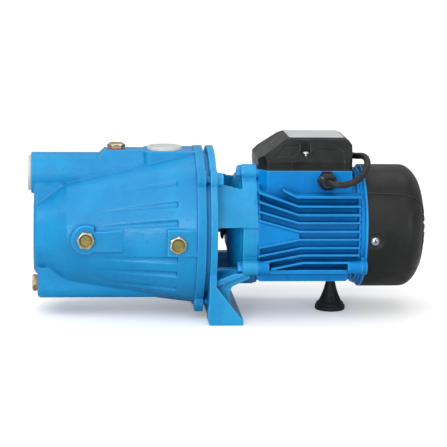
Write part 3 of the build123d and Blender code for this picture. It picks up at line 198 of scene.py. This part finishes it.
def crisp(node, name, width, segments=2, finish=None):
    """A machined or moulded small part: flat faces merged, edges rounded by width."""
    ob = stand_in(node, name)
    bm = bmesh.new()
    bm.from_mesh(ob.data)
    bmesh.ops.dissolve_limit(
        bm, angle_limit=math.radians(2.0), verts=bm.verts, edges=bm.edges, delimit={"NORMAL"}
    )
    bm.to_mesh(ob.data)
    bm.free()
    apply_modifier(
        ob, "BEVEL", width=width, segments=segments, limit_method="ANGLE",
        angle_limit=math.radians(28), use_clamp_overlap=True,
    )
    set_clamped(ob.data, read_vectors(ob.data.vertices, "co"), node)
    shade(ob.data, sharp_angle=40)
    apply_modifier(ob, "WEIGHTED_NORMAL", keep_sharp=True)
    return take_over(ob, node, finish)


def repaint(ob, spots, rule, finishes):
    """Repaints faces near each spot, an (origin, direction) pair.

    rule(height, radius, facing) names the finish, or None to leave the face: height and radius
    are along and off the direction, facing is how far the face looks along it."""
    base = len(ob.data.materials)
    for finish in finishes:
        ob.data.materials.append(MATS[finish])
    for face in ob.data.polygons:
        for origin, direction in spots:
            offset = face.center - origin
            height = offset.dot(direction)
            radius = (offset - direction * height).length
            if -0.004 < height < 0.012 and radius < 0.016:
                finish = rule(height, radius, face.normal.dot(direction))
                if finish:
                    face.material_index = base + finishes.index(finish)
                break


def loop_solid(name, rows):
    """A ring-shaped closed solid: rows of points, each joined to the next, the last to the first."""
    bm = bmesh.new()
    rows = [[bm.verts.new(point) for point in row] for row in rows]
    for i, row in enumerate(rows):
        following = rows[(i + 1) % len(rows)]
        for j in range(len(row)):
            k = (j + 1) % len(row)
            bm.faces.new((row[j], row[k], following[k], following[j]))
    bmesh.ops.recalc_face_normals(bm, faces=bm.faces)
    me = bpy.data.meshes.new(name)
    bm.to_mesh(me)
    bm.free()
    return add_object(name, me)


def pipe_thread(name, mouth, inward, length):
    """Cut thread in a port: a helical ridge on the bore, inward being the way into it."""
    across = inward.orthogonal().normalized()
    over = inward.cross(across)
    angles = [2 * math.pi * j / THREAD_SIDES for j in range(THREAD_SIDES)]
    spokes = [across * math.cos(angle) + over * math.sin(angle) for angle in angles]

    def ring(depth, radii):
        return [mouth + inward * depth + spoke * radius for spoke, radius in zip(spokes, radii)]

    steps = int(length / THREAD_PITCH * STEPS_PER_TURN)
    rows = []
    for i in range(steps + 1):
        depth = length * i / steps
        # the ridge runs out over one pitch at each end
        fade = min(1.0, depth / THREAD_PITCH, (length - depth) / THREAD_PITCH)
        radii = []
        for j in range(THREAD_SIDES):
            phase = (depth / THREAD_PITCH - j / THREAD_SIDES) % 1.0
            ridge = max(0.0, 1 - abs(phase - 0.5) * 2 / THREAD_CREST)
            radii.append(THREAD_RADIUS - THREAD_GAP - THREAD_HEIGHT * ridge * fade)
        rows.append(ring(depth, radii))
    for depth in (length, 0.0):
        rows.append(ring(depth, [THREAD_RADIUS + THREAD_BACKING] * THREAD_SIDES))
    ob = loop_solid(name, rows)
    shade(ob.data, sharp_angle=50)
    ob.data.materials.append(MATS["bored_iron"])
    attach(ob, "pump")


# ---------------------------------------------------------------- shader helpers
def dim(colour, factor):
    return [factor * a for a in colour]


def between(first, second, share):
    return [(1 - share) * a + share * b for a, b in zip(first, second)]


class Graph:
    """Adds nodes to a tree. A value is a number, a colour or another node's output."""

    def __init__(self, tree):
        self.tree = tree

    def put(self, socket, value):
        if isinstance(value, bpy.types.NodeSocket):
            self.tree.links.new(value, socket)
        elif socket.type == "RGBA":
            socket.default_value = (*value, 1)
        else:
            socket.default_value = value

    def add(self, kind, inputs={}, **settings):
        node = self.tree.nodes.new("ShaderNode" + kind)
        for key, value in settings.items():
            setattr(node, key, value)
        for key, value in inputs.items():
            self.put(node.inputs[key], value)
        return node

    def fade(self, value, over, to=(0.0, 1.0)):
        """Eases from to[0] to to[1] as value goes over the range."""
        inputs = dict(enumerate((value, *over, *to)))
        return self.add("MapRange", inputs, interpolation_type="SMOOTHSTEP").outputs[0]

    def math(self, operation, a, b):
        return self.add("Math", {0: a, 1: b}, operation=operation).outputs[0]

    def times(self, a, b):
        return self.math("MULTIPLY", a, b)


class Finish(Graph):
    """A Principled material in object coordinates, kept in MATS. Sizes are in metres."""

    def __init__(self, name):
        self.material = bpy.data.materials.new(name)
        self.material.use_nodes = True
        super().__init__(self.material.node_tree)
        self.tree.nodes.clear()
        output = self.add("OutputMaterial")
        self.principled = self.add("BsdfPrincipled")
        self.put(output.inputs[0], self.principled.outputs[0])
        self.place = self.add("TexCoord").outputs["Object"]
        MATS[name] = self.material

    def set(self, **inputs):
        for key, value in inputs.items():
            self.put(self.principled.inputs[key.replace("_", " ")], value)

    def stretched(self, scale):
        return self.add("Mapping", {"Vector": self.place, "Scale": scale}).outputs[0]

    def noise(self, size, detail=4, rough=0.6, vector=None, warp=0.0):
        return self.add("TexNoise", {
            "Vector": vector or self.place, "Scale": 1.0 / size, "Detail": detail,
            "Roughness": rough, "Distortion": warp,
        }).outputs[0]

    def patches(self, over, to=(0.0, 1.0), **grain):
        return self.fade(self.noise(**grain), over, to)

    def mix(self, factor, colour, other, share=None):
        """Brings other in by the factor, cut down to a share of it where given."""
        if share is not None:
            factor = self.times(factor, share)
        return self.add("Mix", {0: factor, 6: colour, 7: other}, data_type="RGBA").outputs[2]

    def mottle(self, colour, other, over, to=(0.0, 1.0), **grain):
        return self.mix(self.patches(over, to, **grain), colour, other)

    def bump(self, height, depth, strength, base=None):
        inputs = {"Strength": strength, "Distance": depth, "Height": height}
        if base is not None:
            inputs["Normal"] = base
        return self.add("Bump", inputs).outputs[0]

    def raised(self, over):
        """Pointiness of a dense mesh: 0.5 on flats, more on ridges, less in hollows."""
        return self.fade(self.add("NewGeometry").outputs["Pointiness"], over)

    def edge(self, radius, over=(0.02, 0.25)):
        """0 on flats to 1 along edges, from rounded normals."""
        rounded = self.add("Bevel", {"Radius": radius}, samples=4).outputs[0]
        flat = self.add("NewGeometry").outputs["True Normal"]
        dot = self.add("VectorMath", {0: rounded, 1: flat}, operation="DOT_PRODUCT")
        return self.fade(self.math("SUBTRACT", 1.0, dot.outputs["Value"]), over)

    def open_air(self, reach, over):
        """0 deep in a gap to 1 in the open."""
        inputs = {"Distance": reach}
        node = self.add("AmbientOcclusion", inputs, samples=6, only_local=True)
        return self.fade(node.outputs["AO"], over)


# ---------------------------------------------------------------- families of finishes
def paint(name, tone, light, dark, bare=(0.05, 0.10, 0.14), grain=0.0005, chips=0.5,
          coat=0.14, spec=0.24, gap=0.3, reach=0.009):
    """Enamel on a rough casting: mottled, chipped on raised edges, with painted highlight along raised edges and
    painted shade darkening the corners and gaps.

    grain is the depth of the skin, chips, gap and coat are amounts, reach is the gap's width."""
    mat = Finish(name)
    mid = mat.noise(size=0.009)
    colour = mat.mottle(tone, light, size=0.045, over=(0.35, 0.68))
    colour = mat.mix(mat.fade(mid, over=(0.55, 0.78), to=(0, 0.35)), colour, dark)
    ridge = mat.raised(over=(0.505, 0.56))
    # painted shade: hollows in the mesh darkened towards a deeper blue
    hollow_shade = mat.raised(over=(0.496, 0.44))
    colour = mat.mix(hollow_shade, colour, dim(dark, 0.7), share=0.8)
    # painted highlight: raised edges lightened towards a paler, brighter blue, by a share that varies over the
    # surface
    rim = between(light, (0.10, 0.50, 0.95), 0.45)
    edge_lighten_share = mat.fade(mid, over=(0.3, 0.7), to=(0.55, 0.9))
    colour = mat.mix(ridge, colour, rim, share=edge_lighten_share)
    # painted shade: colour darkened deep in gaps and between fins, from ambient occlusion
    deep = mat.math("SUBTRACT", 1.0, mat.open_air(reach, over=(0.35, 0.85)))
    gap_shade_colour = [k * a for k, a in zip((0.5, 0.55, 0.75), dark)]
    colour = mat.mix(deep, colour, gap_shade_colour, share=gap)
    speck = mat.patches(size=0.0026, detail=5, rough=0.7, over=(0.60, 0.68))
    chip = mat.times(mat.times(mat.raised(over=(0.53, 0.60)), speck), chips)
    colour = mat.mix(chip, colour, bare)
    gloss = mat.patches(size=0.006, over=(0.3, 0.75), to=(0.33, 0.50))
    chip_rough = 0.2
    peel = mat.noise(size=0.0021, detail=3)
    sand = mat.noise(size=0.0007, detail=3)
    normal = mat.bump(peel, depth=grain, strength=0.9)
    normal = mat.bump(sand, depth=grain * 0.4, strength=0.8, base=normal)
    cells = mat.add("TexVoronoi", {"Vector": mat.place, "Scale": 1.0 / 0.0038}, feature="F1")
    pits = mat.fade(cells.outputs["Distance"], over=(0.0, 0.16))
    normal = mat.bump(pits, depth=grain * 0.5, strength=0.35, base=normal)
    mat.set(Base_Color=colour, Roughness=mat.math("ADD", gloss, mat.times(chip, chip_rough)),
            Normal=normal, Coat_Weight=coat, Coat_Roughness=0.26, Specular_IOR_Level=spec)


def plastic(name, tone, light, size=0.0005, depth=0.00003, rough=(0.45, 0.6), spec=0.4,
            dense=False):
    """A grained moulding, paler along edges, partly rubbed wear and partly painted highlight. dense is for meshes
    fine enough for pointiness.
    """
    mat = Finish(name)
    colour = mat.mottle(tone, between(tone, light, 0.2), size=0.03, over=(0.35, 0.7))
    grain = mat.noise(size=size, detail=3)
    colour = mat.mix(mat.fade(grain, over=(0.5, 0.75), to=(0, 0.35)), colour, light)
    # edges lightened: partly rubbed wear, partly painted highlight on the bevels
    rubbed_and_sheen_edge = mat.raised(over=(0.503, 0.545)) if dense else mat.edge(radius=0.0006)
    spread = (0.5, 0.95) if dense else (0.15, 0.7)
    edge_lighten_share = mat.patches(size=0.004, rough=0.7, over=(0.35, 0.7), to=spread)
    colour = mat.mix(rubbed_and_sheen_edge, colour, light, share=edge_lighten_share)
    roughness = mat.patches(size=0.012, over=(0.3, 0.7), to=rough)
    normal = mat.bump(grain, depth=depth, strength=0.8)
    waves = mat.noise(size=0.006, detail=2, rough=0.5)
    normal = mat.bump(waves, depth=depth * 1.5, strength=0.35, base=normal)
    mat.set(Base_Color=colour, Roughness=roughness, Normal=normal, Specular_IOR_Level=spec)


def metal(name, tone, worn, rough=(0.22, 0.38), stretch=None, size=0.0008, depth=0.00001,
          tint=None, tint_size=0.008):
    """Bare or plated metal: drawn or turned lines, tinted patches, worn edges."""
    mat = Finish(name)
    lines = mat.noise(size=size, rough=0.65, vector=mat.stretched(stretch) if stretch else None)
    colour = mat.mottle(tone, tint or dim(tone, 0.86), size=tint_size, over=(0.35, 0.68))
    colour = mat.mix(mat.fade(lines, over=(0.45, 0.75), to=(0, 0.3)), colour, dim(tone, 0.7))
    colour = mat.mix(mat.edge(radius=0.0004), colour, worn, share=0.8)
    roughness = mat.math(
        "ADD",
        mat.fade(lines, over=(0.3, 0.7), to=rough),
        mat.patches(size=0.01, detail=3, over=(0.4, 0.8), to=(0, 0.1)),
    )
    normal = mat.bump(lines, depth=depth, strength=0.7)
    mat.set(Base_Color=colour, Metallic=1.0, Roughness=roughness, Normal=normal)


# ---------------------------------------------------------------- single finishes
def zinc_brass():
    mat = Finish("zinc_brass")
    brass, zinc = (0.36, 0.27, 0.085), (0.34, 0.30, 0.15)
    stain, scratch, worn = (0.30, 0.19, 0.11), (0.20, 0.15, 0.06), (0.80, 0.80, 0.74)
    colour = mat.mottle(brass, zinc, size=0.006, rough=0.65, warp=0.6, over=(0.32, 0.55))
    colour = mat.mottle(colour, stain, size=0.0035, detail=3, over=(0.55, 0.75), to=(0, 0.6))
    lines = mat.noise(size=0.0009, rough=0.7)
    colour = mat.mix(mat.fade(lines, over=(0.55, 0.8), to=(0, 0.35)), colour, scratch)
    colour = mat.mix(mat.edge(radius=0.0012, over=(0.015, 0.16)), colour, worn)
    mat.set(Base_Color=colour, Metallic=1.0,
            Roughness=mat.fade(lines, over=(0.3, 0.7), to=(0.22, 0.42)),
            Normal=mat.bump(lines, depth=0.00002, strength=0.8))


def red_fibre():
    mat = Finish("red_fibre")
    red, pale, dark = (0.46, 0.035, 0.022), (0.66, 0.09, 0.055), (0.30, 0.02, 0.015)
    unscaled = mat.stretched((1, 1, 1))
    fibre = mat.noise(size=0.0022, detail=5, rough=0.7, vector=unscaled, warp=0.8)
    colour = mat.mix(mat.fade(fibre, over=(0.3, 0.72)), red, pale)
    colour = mat.mottle(colour, dark, size=0.0006, detail=3, over=(0.55, 0.8), to=(0, 0.5))
    mat.set(Base_Color=colour, Roughness=mat.fade(fibre, over=(0.3, 0.7), to=(0.5, 0.7)),
            Normal=mat.bump(fibre, depth=0.00006, strength=0.8))


def cap_plastic():
    mat = Finish("cap_plastic")
    grey, pale, rim = (0.56, 0.57, 0.56), (0.66, 0.67, 0.66), (0.80, 0.81, 0.80)
    colour = mat.mottle(grey, pale, size=0.012, over=(0.35, 0.7))
    colour = mat.mix(mat.edge(radius=0.0012), colour, rim, share=0.6)
    skin = mat.noise(size=0.0011, detail=3)
    mat.set(Base_Color=colour, Roughness=mat.fade(skin, over=(0.3, 0.7), to=(0.34, 0.5)),
            Normal=mat.bump(skin, depth=0.00003, strength=0.7), Subsurface_Weight=0.35,
            Subsurface_Scale=0.003, Subsurface_Radius=(1.0, 0.95, 0.85),
            Transmission_Weight=0.12, IOR=1.5)


def black_rubber():
    mat = Finish("black_rubber")
    black, soft, dust = (0.009, 0.009, 0.0095), (0.018, 0.018, 0.019), (0.04, 0.04, 0.04)
    grain = mat.noise(size=0.0006, detail=3)
    colour = mat.mottle(black, soft, size=0.02, over=(0.35, 0.7))
    colour = mat.mottle(colour, dust, size=0.004, rough=0.7, over=(0.58, 0.75), to=(0, 0.5))
    mat.set(Base_Color=colour,
            Roughness=mat.patches(size=0.008, over=(0.3, 0.7), to=(0.42, 0.62)),
            Normal=mat.bump(grain, depth=0.00003, strength=0.7), Specular_IOR_Level=0.35)


def lamination_steel():
    mat = Finish("lamination_steel")
    gap, sheet, stain = (0.16, 0.16, 0.17), (0.34, 0.34, 0.36), (0.15, 0.13, 0.12)
    sheet_pitch = 0.0005
    # at scale 1 the bands repeat every 2 pi / 20
    scale = 2 * math.pi / sheet_pitch / 20
    line = mat.add(
        "TexWave", {"Vector": mat.place, "Scale": scale, "Distortion": 0.4},
        wave_type="BANDS", bands_direction="X",
    ).outputs["Fac"]
    colour = mat.mix(mat.fade(line, over=(0.2, 0.8)), gap, sheet)
    colour = mat.mottle(colour, stain, size=0.006, over=(0.5, 0.75), to=(0, 0.6))
    mat.set(Base_Color=colour, Metallic=1.0,
            Roughness=mat.fade(line, over=(0, 1), to=(0.6, 0.38)),
            Normal=mat.bump(line, depth=0.00008, strength=0.8))


def copper_winding():
    mat = Finish("copper_winding")
    dark, bright = (0.34, 0.10, 0.03), (0.62, 0.25, 0.09)
    along_x = mat.stretched((0.12, 1, 1))
    wires = mat.noise(size=0.0012, detail=3, rough=0.5, vector=along_x, warp=0.4)
    mat.set(Base_Color=mat.mix(mat.fade(wires, over=(0.35, 0.65)), dark, bright), Metallic=0.7,
            Roughness=mat.fade(wires, over=(0.3, 0.7), to=(0.28, 0.45)),
            Normal=mat.bump(wires, depth=0.00025, strength=0.9), Coat_Weight=0.4)


def plate_aluminium():
    mat = Finish("plate_aluminium")
    dull, bright = (0.70, 0.71, 0.73), (0.80, 0.81, 0.83)
    cloud, rim = (0.64, 0.65, 0.68), (0.9, 0.9, 0.91)
    brushed = mat.noise(size=0.0008, rough=0.7, vector=mat.stretched((0.03, 1, 1)))
    colour = mat.mix(mat.fade(brushed, over=(0.3, 0.7)), dull, bright)
    colour = mat.mottle(colour, cloud, size=0.02, over=(0.45, 0.75), to=(0, 0.4))
    colour = mat.mix(mat.edge(radius=0.0006), colour, rim, share=0.7)
    mat.set(Base_Color=colour, Metallic=0.85,
            Roughness=mat.fade(brushed, over=(0.3, 0.7), to=(0.34, 0.5)),
            Normal=mat.bump(brushed, depth=0.000015, strength=0.6))


def core_wires():
    """Three wires side by side along Y: brown, green, blue."""
    mat = Finish("core_wires")
    brown, green, blue = (0.22, 0.10, 0.04), (0.25, 0.42, 0.06), (0.03, 0.10, 0.45)
    dirt = (0.1, 0.08, 0.06)
    y = mat.add("SeparateXYZ", {0: mat.place}).outputs["Y"]
    colour = mat.mix(mat.fade(y, over=(-0.0012, -0.0008)), brown, green)
    colour = mat.mix(mat.fade(y, over=(0.0008, 0.0012)), colour, blue)
    grime = mat.noise(size=0.002, detail=3)
    colour = mat.mix(mat.fade(grime, over=(0.5, 0.8), to=(0, 0.3)), colour, dirt)
    mat.set(Base_Color=colour, Roughness=mat.fade(grime, over=(0.3, 0.7), to=(0.35, 0.5)),
            Normal=mat.bump(grime, depth=0.00003, strength=0.6))


paint("cast_paint", tone=(0.001, 0.216, 0.492), light=(0.004, 0.262, 0.555),
      dark=(0.0005, 0.148, 0.370))
# painted light: a lighter copy of the casting paint, standing in for the brighter light on the bracket's neck
paint("bracket_paint_lit", tone=(0.001, 0.245, 0.525), light=(0.008, 0.300, 0.600),
      dark=(0.0005, 0.155, 0.390), coat=0.18, spec=0.3)
# the motor's larger gap and reach give it stronger painted shade between its fins
paint("motor_paint", tone=(0.0005, 0.185, 0.500), light=(0.001, 0.225, 0.590),
      dark=(0.0003, 0.085, 0.280), bare=(0.16, 0.22, 0.30), grain=0.00007, chips=0.3,
      coat=0.05, spec=0.14, gap=0.48, reach=0.012)

plastic("black_plastic", tone=(0.0095, 0.0098, 0.0098), light=(0.034, 0.035, 0.036), spec=0.22)
# on the dense cover_black and fan_black mouldings the edge lightening is a painted highlight along every ridge
plastic("cover_black", tone=(0.0050, 0.0054, 0.0054), light=(0.062, 0.066, 0.066),
        size=0.0007, depth=0.00001, rough=(0.30, 0.42), spec=0.20, dense=True)
plastic("fan_black", tone=(0.0085, 0.0088, 0.0088), light=(0.044, 0.046, 0.046),
        depth=0.00002, rough=(0.36, 0.48), spec=0.24, dense=True)
plastic("gloss_black", tone=(0.008, 0.008, 0.008), light=(0.03, 0.03, 0.03),
        size=0.0012, depth=0.00001, rough=(0.14, 0.26), spec=0.5)
plastic("noryl_plastic", tone=(0.030, 0.031, 0.034), light=(0.075, 0.076, 0.08),
        size=0.0007, depth=0.00002, rough=(0.32, 0.45))
plastic("terminal_plastic", tone=(0.62, 0.60, 0.54), light=(0.74, 0.72, 0.66),
        size=0.0006, depth=0.00002)
plastic("capacitor_white", tone=(0.72, 0.72, 0.69), light=(0.84, 0.84, 0.82),
        size=0.0006, depth=0.00002, rough=(0.35, 0.5))
plastic("seal_ceramic", tone=(0.74, 0.72, 0.66), light=(0.85, 0.84, 0.80),
        size=0.0003, depth=0.000006, rough=(0.18, 0.28))
plastic("seal_carbon", tone=(0.022, 0.022, 0.024), light=(0.09, 0.09, 0.095),
        size=0.0004, depth=0.00001, rough=(0.28, 0.42))

metal("screw_steel", tone=(0.56, 0.57, 0.60), worn=(0.85, 0.86, 0.88), tint=(0.50, 0.52, 0.60))
metal("shaft_steel", tone=(0.52, 0.52, 0.53), worn=(0.8, 0.8, 0.82), rough=(0.16, 0.28),
      stretch=(60, 1, 1), size=0.02)
metal("bearing_steel", tone=(0.60, 0.60, 0.62), worn=(0.85, 0.85, 0.87), rough=(0.08, 0.16),
      depth=0.000004)
metal("spring_steel", tone=(0.55, 0.55, 0.55), worn=(0.8, 0.8, 0.8), rough=(0.2, 0.32))
metal("impeller_brass", tone=(0.66, 0.46, 0.20), worn=(0.9, 0.72, 0.40), rough=(0.24, 0.4),
      tint=(0.55, 0.36, 0.16), size=0.0016, depth=0.00003)
metal("rotor_aluminium", tone=(0.62, 0.62, 0.64), worn=(0.8, 0.8, 0.82), rough=(0.35, 0.5),
      size=0.0014, depth=0.00004)

zinc_brass()
red_fibre()
cap_plastic()
black_rubber()
lamination_steel()
copper_winding()
plate_aluminium()
core_wires()

metal("plug_rim", tone=(0.82, 0.80, 0.70), worn=(0.95, 0.95, 0.92), rough=(0.22, 0.36),
      tint=(0.66, 0.60, 0.42), tint_size=0.004)
metal("plug_dish", tone=(0.34, 0.28, 0.10), worn=(0.6, 0.54, 0.34), rough=(0.28, 0.48),
      size=0.0011, depth=0.00004, tint=(0.20, 0.19, 0.09), tint_size=0.0025)
# painted shade: near-black finish for the shaded recess in screw heads
metal("screw_recess", tone=(0.03, 0.03, 0.032), worn=(0.2, 0.2, 0.2), rough=(0.45, 0.6))
metal("bored_iron", tone=(0.30, 0.30, 0.31), worn=(0.55, 0.55, 0.56), rough=(0.3, 0.45),
      size=0.0007, depth=0.00002)

# every CAD node gets its finish; the ones replaced below are hidden
for node, ob in NODES.items():
    ob.data.materials.clear()
    ob.data.materials.append(MATS[SLOT[node]])


# ---------------------------------------------------------------- castings
def from_axis(points):
    return points[:, 0], points[:, 1], points[:, 2] - AXIS_Z


def body_keep(points):
    """Machined faces and the port mouths stay true."""
    x, _, z = from_axis(points)
    keep = np.ones(len(points))
    keep[x > -0.0262] = 0
    keep[(x < -0.2098) & (z > 0.03)] = 0
    keep[z > 0.0838] = 0.15
    return keep


def shield_push(points, normals):
    """The rim steps in on the -X side of the lip at the fan cover, except at two low lugs."""
    lip_x, rim_radius = 0.1474, 0.0640
    lug_y, lug_z, lug_radius = 0.061, -0.035, 0.0095
    x, y, z = from_axis(points)
    radius = np.hypot(y, z)
    lug = np.hypot(np.abs(y) - lug_y, z - lug_z) < lug_radius
    step = (x < lip_x) & (radius > rim_radius) & ~lug
    scale = np.where(step, rim_radius / np.maximum(radius, 1e-6), 1.0)
    points[:, 1] = y * scale
    points[:, 2] = AXIS_Z + z * scale
    return points


# the moulding step across each flank of the fan cover: x, height above the shaft axis
STEP_LINE = (
    (0.150, 0.0441), (0.158, 0.0438), (0.186, 0.0429), (0.194, 0.0421),
    (0.202, 0.0388), (0.208, 0.0345), (0.213, 0.028),
)


def cover_push(points, normals):
    """Moulding step across each flank, the part below it sunk, and a dish round each screw."""
    sink_depth, groove_depth, dish_depth = 0.00085, 0.0007, 0.0017
    groove_below, groove_width = 0.0006, 0.0006
    dish_inner, dish_outer, dish_slope = 0.0050, 0.0100, 0.0042
    x, y, z = from_axis(points)
    radius = np.hypot(y, z)
    outward = (normals[:, 1] * y + normals[:, 2] * z) / np.maximum(radius, 1e-6)
    outer = outward + np.maximum(normals[:, 0], 0) > 0.3
    flank = (np.abs(y) > 0.012) & (x < 0.2135)

    below = np.interp(x, *zip(*STEP_LINE)) - z
    step = np.clip((below + 0.0003) / 0.0008, 0, 1)
    step = step * step * (3 - 2 * step)
    # the sunk part runs out towards the bottom
    run_out = np.clip((z + 0.0545) / 0.030, 0, 1)
    sink = sink_depth * step * np.where(z > -0.040, 1.0, run_out)
    groove = groove_depth * np.exp(-((below - groove_below) / groove_width) ** 2)

    seat = np.hypot(x - FAN_SCREW_X * MM, z - FAN_SCREW_Z * MM)
    dish = dish_depth * np.clip((dish_outer - seat) / dish_slope, 0, 1)
    dish *= (seat > dish_inner) & (np.abs(y) > 0.03)
    amount = np.where(outer, (sink + groove) * flank + dish, 0.0)
    return points - normals * amount[:, None]


cast("pump_body", "pump_casing_casting", voxel=0.80 * MM, uneven=0.10 * MM, keep=body_keep)
cast("bracket", "bracket_casting", voxel=0.80 * MM, uneven=0.09 * MM, cell=4 * MM,
     finish="bracket_paint_lit")
cast("motor_housing", "motor_housing_casting", voxel=0.75 * MM, uneven=0.03 * MM)
cast("rear_end_shield", "rear_shield_casting", voxel=0.75 * MM, uneven=0.04 * MM,
     push=shield_push)
cast("terminal_cover", "terminal_cover_moulding", voxel=0.55 * MM, smooth=3,
     finish="cover_black")
cast("fan_cover", "fan_cover_moulding", voxel=0.65 * MM, smooth=2, push=cover_push,
     finish="fan_black")


# ---------------------------------------------------------------- plugs and screws
def plug_rule(height, radius, facing):
    """A dark dish inside a bright rim at the plug's top."""
    if height > PLUG_TOP - 2.0 * MM and radius < 6.85 * MM and facing > -0.5:
        return "plug_dish"
    if height > PLUG_TOP - 3.0 * MM and radius > 6.6 * MM and facing > 0.2:
        return "plug_rim"
    return None


def screw_rule(top):
    """Paints the walls and floor of the recess in a screw head that ends at top near black: painted shade."""
    def rule(height, radius, facing):
        inside = radius < 2.7 * MM and top - 1.05 * MM < height < top - 0.08 * MM
        floor = facing > 0.99 and height < top - 0.7 * MM
        return "screw_recess" if inside and (facing < 0.4 or floor) else None

    return rule


PLUGS = (
    ("priming_plug", "priming_plug_turned", [(at(-118.3, 0, 84.3), Z)]),
    ("drain_plug", "drain_plug_turned", [(at(-203.3, 0, -64.4), -X)]),
    ("gauge_port_plugs", "gauge_plugs_turned", [
        (at(x, side * y, z), Y * side)
        for x, y, z in ((-151.9, 71.0, -3.4), (-55.1, 84.6, -5.8))
        for side in (-1, 1)
    ]),
)
for node, name, spots in PLUGS:
    ob = crisp(node, name, width=0.3 * MM)
    repaint(ob, spots, plug_rule, ("plug_rim", "plug_dish"))

FAN_SCREWS = [
    (at(FAN_SCREW_X, -FAN_SCREW_OUT, FAN_SCREW_Z), -Y),
    (at(FAN_SCREW_X, FAN_SCREW_OUT, FAN_SCREW_Z), Y),
    (at(FAN_SCREW_X, 0, -FAN_SCREW_OUT), -Z),
]
COVER_SCREWS = [
    (at(COVER_SCREW_X, side * COVER_SCREW_Y, COVER_SCREW_Z), Z) for side in (-1, 1)
]
for node, name, spots, top in (
    ("fan_cover_screws", "fan_screws_headed", FAN_SCREWS, FAN_SCREW_TOP),
    ("terminal_cover_screws", "cover_screws_headed", COVER_SCREWS, COVER_SCREW_TOP),
):
    ob = crisp(node, name, width=0.08 * MM, segments=1)
    repaint(ob, spots, screw_rule(top), ("screw_recess",))

# ---------------------------------------------------------------- other small parts
# CAD node, name, edge width in mm, edge segments, finish (None: the node's own)
SMALL_PARTS = (
    ("plug_washers", "plug_washers_cut", 0.25, 2, None),
    ("suction_port_cap", "suction_cap_moulded", 0.5, 3, None),
    ("discharge_port_cap", "discharge_cap_moulded", 0.5, 3, None),
    ("casing_bolts", "casing_bolts_forged", 0.5, 2, None),
    ("motor_bolts", "motor_bolts_forged", 0.4, 2, None),
    ("cable_gland_body", "gland_body_moulded", 0.35, 2, "gloss_black"),
    ("cable_gland_nut", "gland_nut_moulded", 0.35, 2, "gloss_black"),
    ("nameplate", "top_plate_pressed", 0.25, 2, None),
    ("rear_foot", "rear_foot_moulded", 0.5, 3, None),
    ("seal_plate", "seal_plate_turned", 0.4, 2, None),
)
for node, name, width, segments, finish in SMALL_PARTS:
    crisp(node, name, width * MM, segments, finish)

# seen when the port caps are out
pipe_thread("suction_port_thread", at(-206.2, 0, 57.7), inward=X, length=15.2 * MM)
pipe_thread("discharge_port_thread", at(-65.9, 0, 80.2), inward=-Z, length=13.0 * MM)


# ---------------------------------------------------------------- floor, light, camera
def floor():
    """A pale floor that looks brighter to the camera than the light it throws back."""
    me = bpy.data.meshes.new("floor")
    s = FLOOR_HALF
    me.from_pydata([(-s, -s, 0), (s, -s, 0), (s, s, 0), (-s, s, 0)], [], [(0, 1, 2, 3)])
    ob = add_object("floor", me)
    ob.location.z = CAD_LO.z - FLOOR_GAP
    mat = Finish("floor_pale")
    low, high, bounced = (0.93, 0.93, 0.93), (0.95, 0.95, 0.95), (0.62, 0.62, 0.62)
    seen = mat.mix(mat.noise(size=0.4, detail=3, rough=0.5), low, high)
    camera_ray = mat.add("LightPath").outputs["Is Camera Ray"]
    glow = 0.22
    mat.set(Base_Color=mat.mix(camera_ray, bounced, seen), Roughness=0.9,
            Specular_IOR_Level=0.05, Emission_Color=(1.0, 1.0, 1.0),
            Emission_Strength=mat.times(camera_ray, glow))
    me.materials.append(mat.material)


def studio():
    """A white world, brighter overhead, and full white to the camera."""
    world = bpy.data.worlds.new("studio")
    SCENE.world = world
    world.use_nodes = True
    graph = Graph(world.node_tree)
    background = world.node_tree.nodes["Background"]
    graph.put(background.inputs[0], (1.0, 1.0, 1.0))
    direction = graph.add("TexCoord").outputs["Generated"]
    height = graph.add("SeparateXYZ", {0: direction}).outputs["Z"]
    sky = graph.fade(height, over=(-0.1, 0.8), to=(0.38, 0.72))
    camera_ray = graph.add("LightPath").outputs["Is Camera Ray"]
    graph.put(background.inputs[1], graph.math("MAXIMUM", sky, camera_ray))


def aim(direction):
    return direction.to_track_quat("-Z", "Y").to_euler()


def sun():
    light = bpy.data.lights.new("soft_key", "SUN")
    light.energy = 0.90
    light.angle = math.radians(50)
    add_object("soft_key", light).rotation_euler = aim(Vector((0.30, 0.85, -1.0)))


def lamp(name, place, size, watts, size_y=None):
    """An area lamp aimed at the shaft axis over the origin."""
    light = bpy.data.lights.new(name, "AREA")
    light.energy = watts
    light.size = size
    if size_y:
        light.shape = "RECTANGLE"
        light.size_y = size_y
    ob = add_object(name, light)
    ob.location = place
    ob.rotation_euler = aim(Vector((0.0, 0.0, AXIS_Z)) - Vector(place))


def camera():
    """A long lens on the -Y side, looking slightly down."""
    data = bpy.data.cameras.new("photo_view")
    data.sensor_width = 36.0
    data.lens = 144.966443
    data.clip_end = 100
    ob = add_object("photo_view", data)
    right = Vector((0.99617, -0.08593, 0.01599))
    up = Vector((0.0, 0.18294, 0.98312))
    forward = Vector((0.08741, 0.97936, -0.18224))
    turn = Matrix((right, up, -forward)).transposed().to_4x4()
    ob.matrix_world = Matrix.Translation((-0.17306, -1.93889, 0.45718)) @ turn
    SCENE.camera = ob


floor()
studio()
sun()
lamp("front_soft", (-0.75, -1.9, 0.42), size=0.5, watts=15.0)
lamp("front_right", (1.0, -1.4, 0.45), size=0.6, watts=4.4)
lamp("top_strip", (0.0, 0.25, 1.2), size=1.2, watts=2.6, size_y=0.4)
lamp("left_high", (-1.1, -0.25, 0.95), size=0.45, watts=2.2)
camera()
SCENE.view_settings.view_transform = "Standard"
SCENE.view_settings.look = "None"
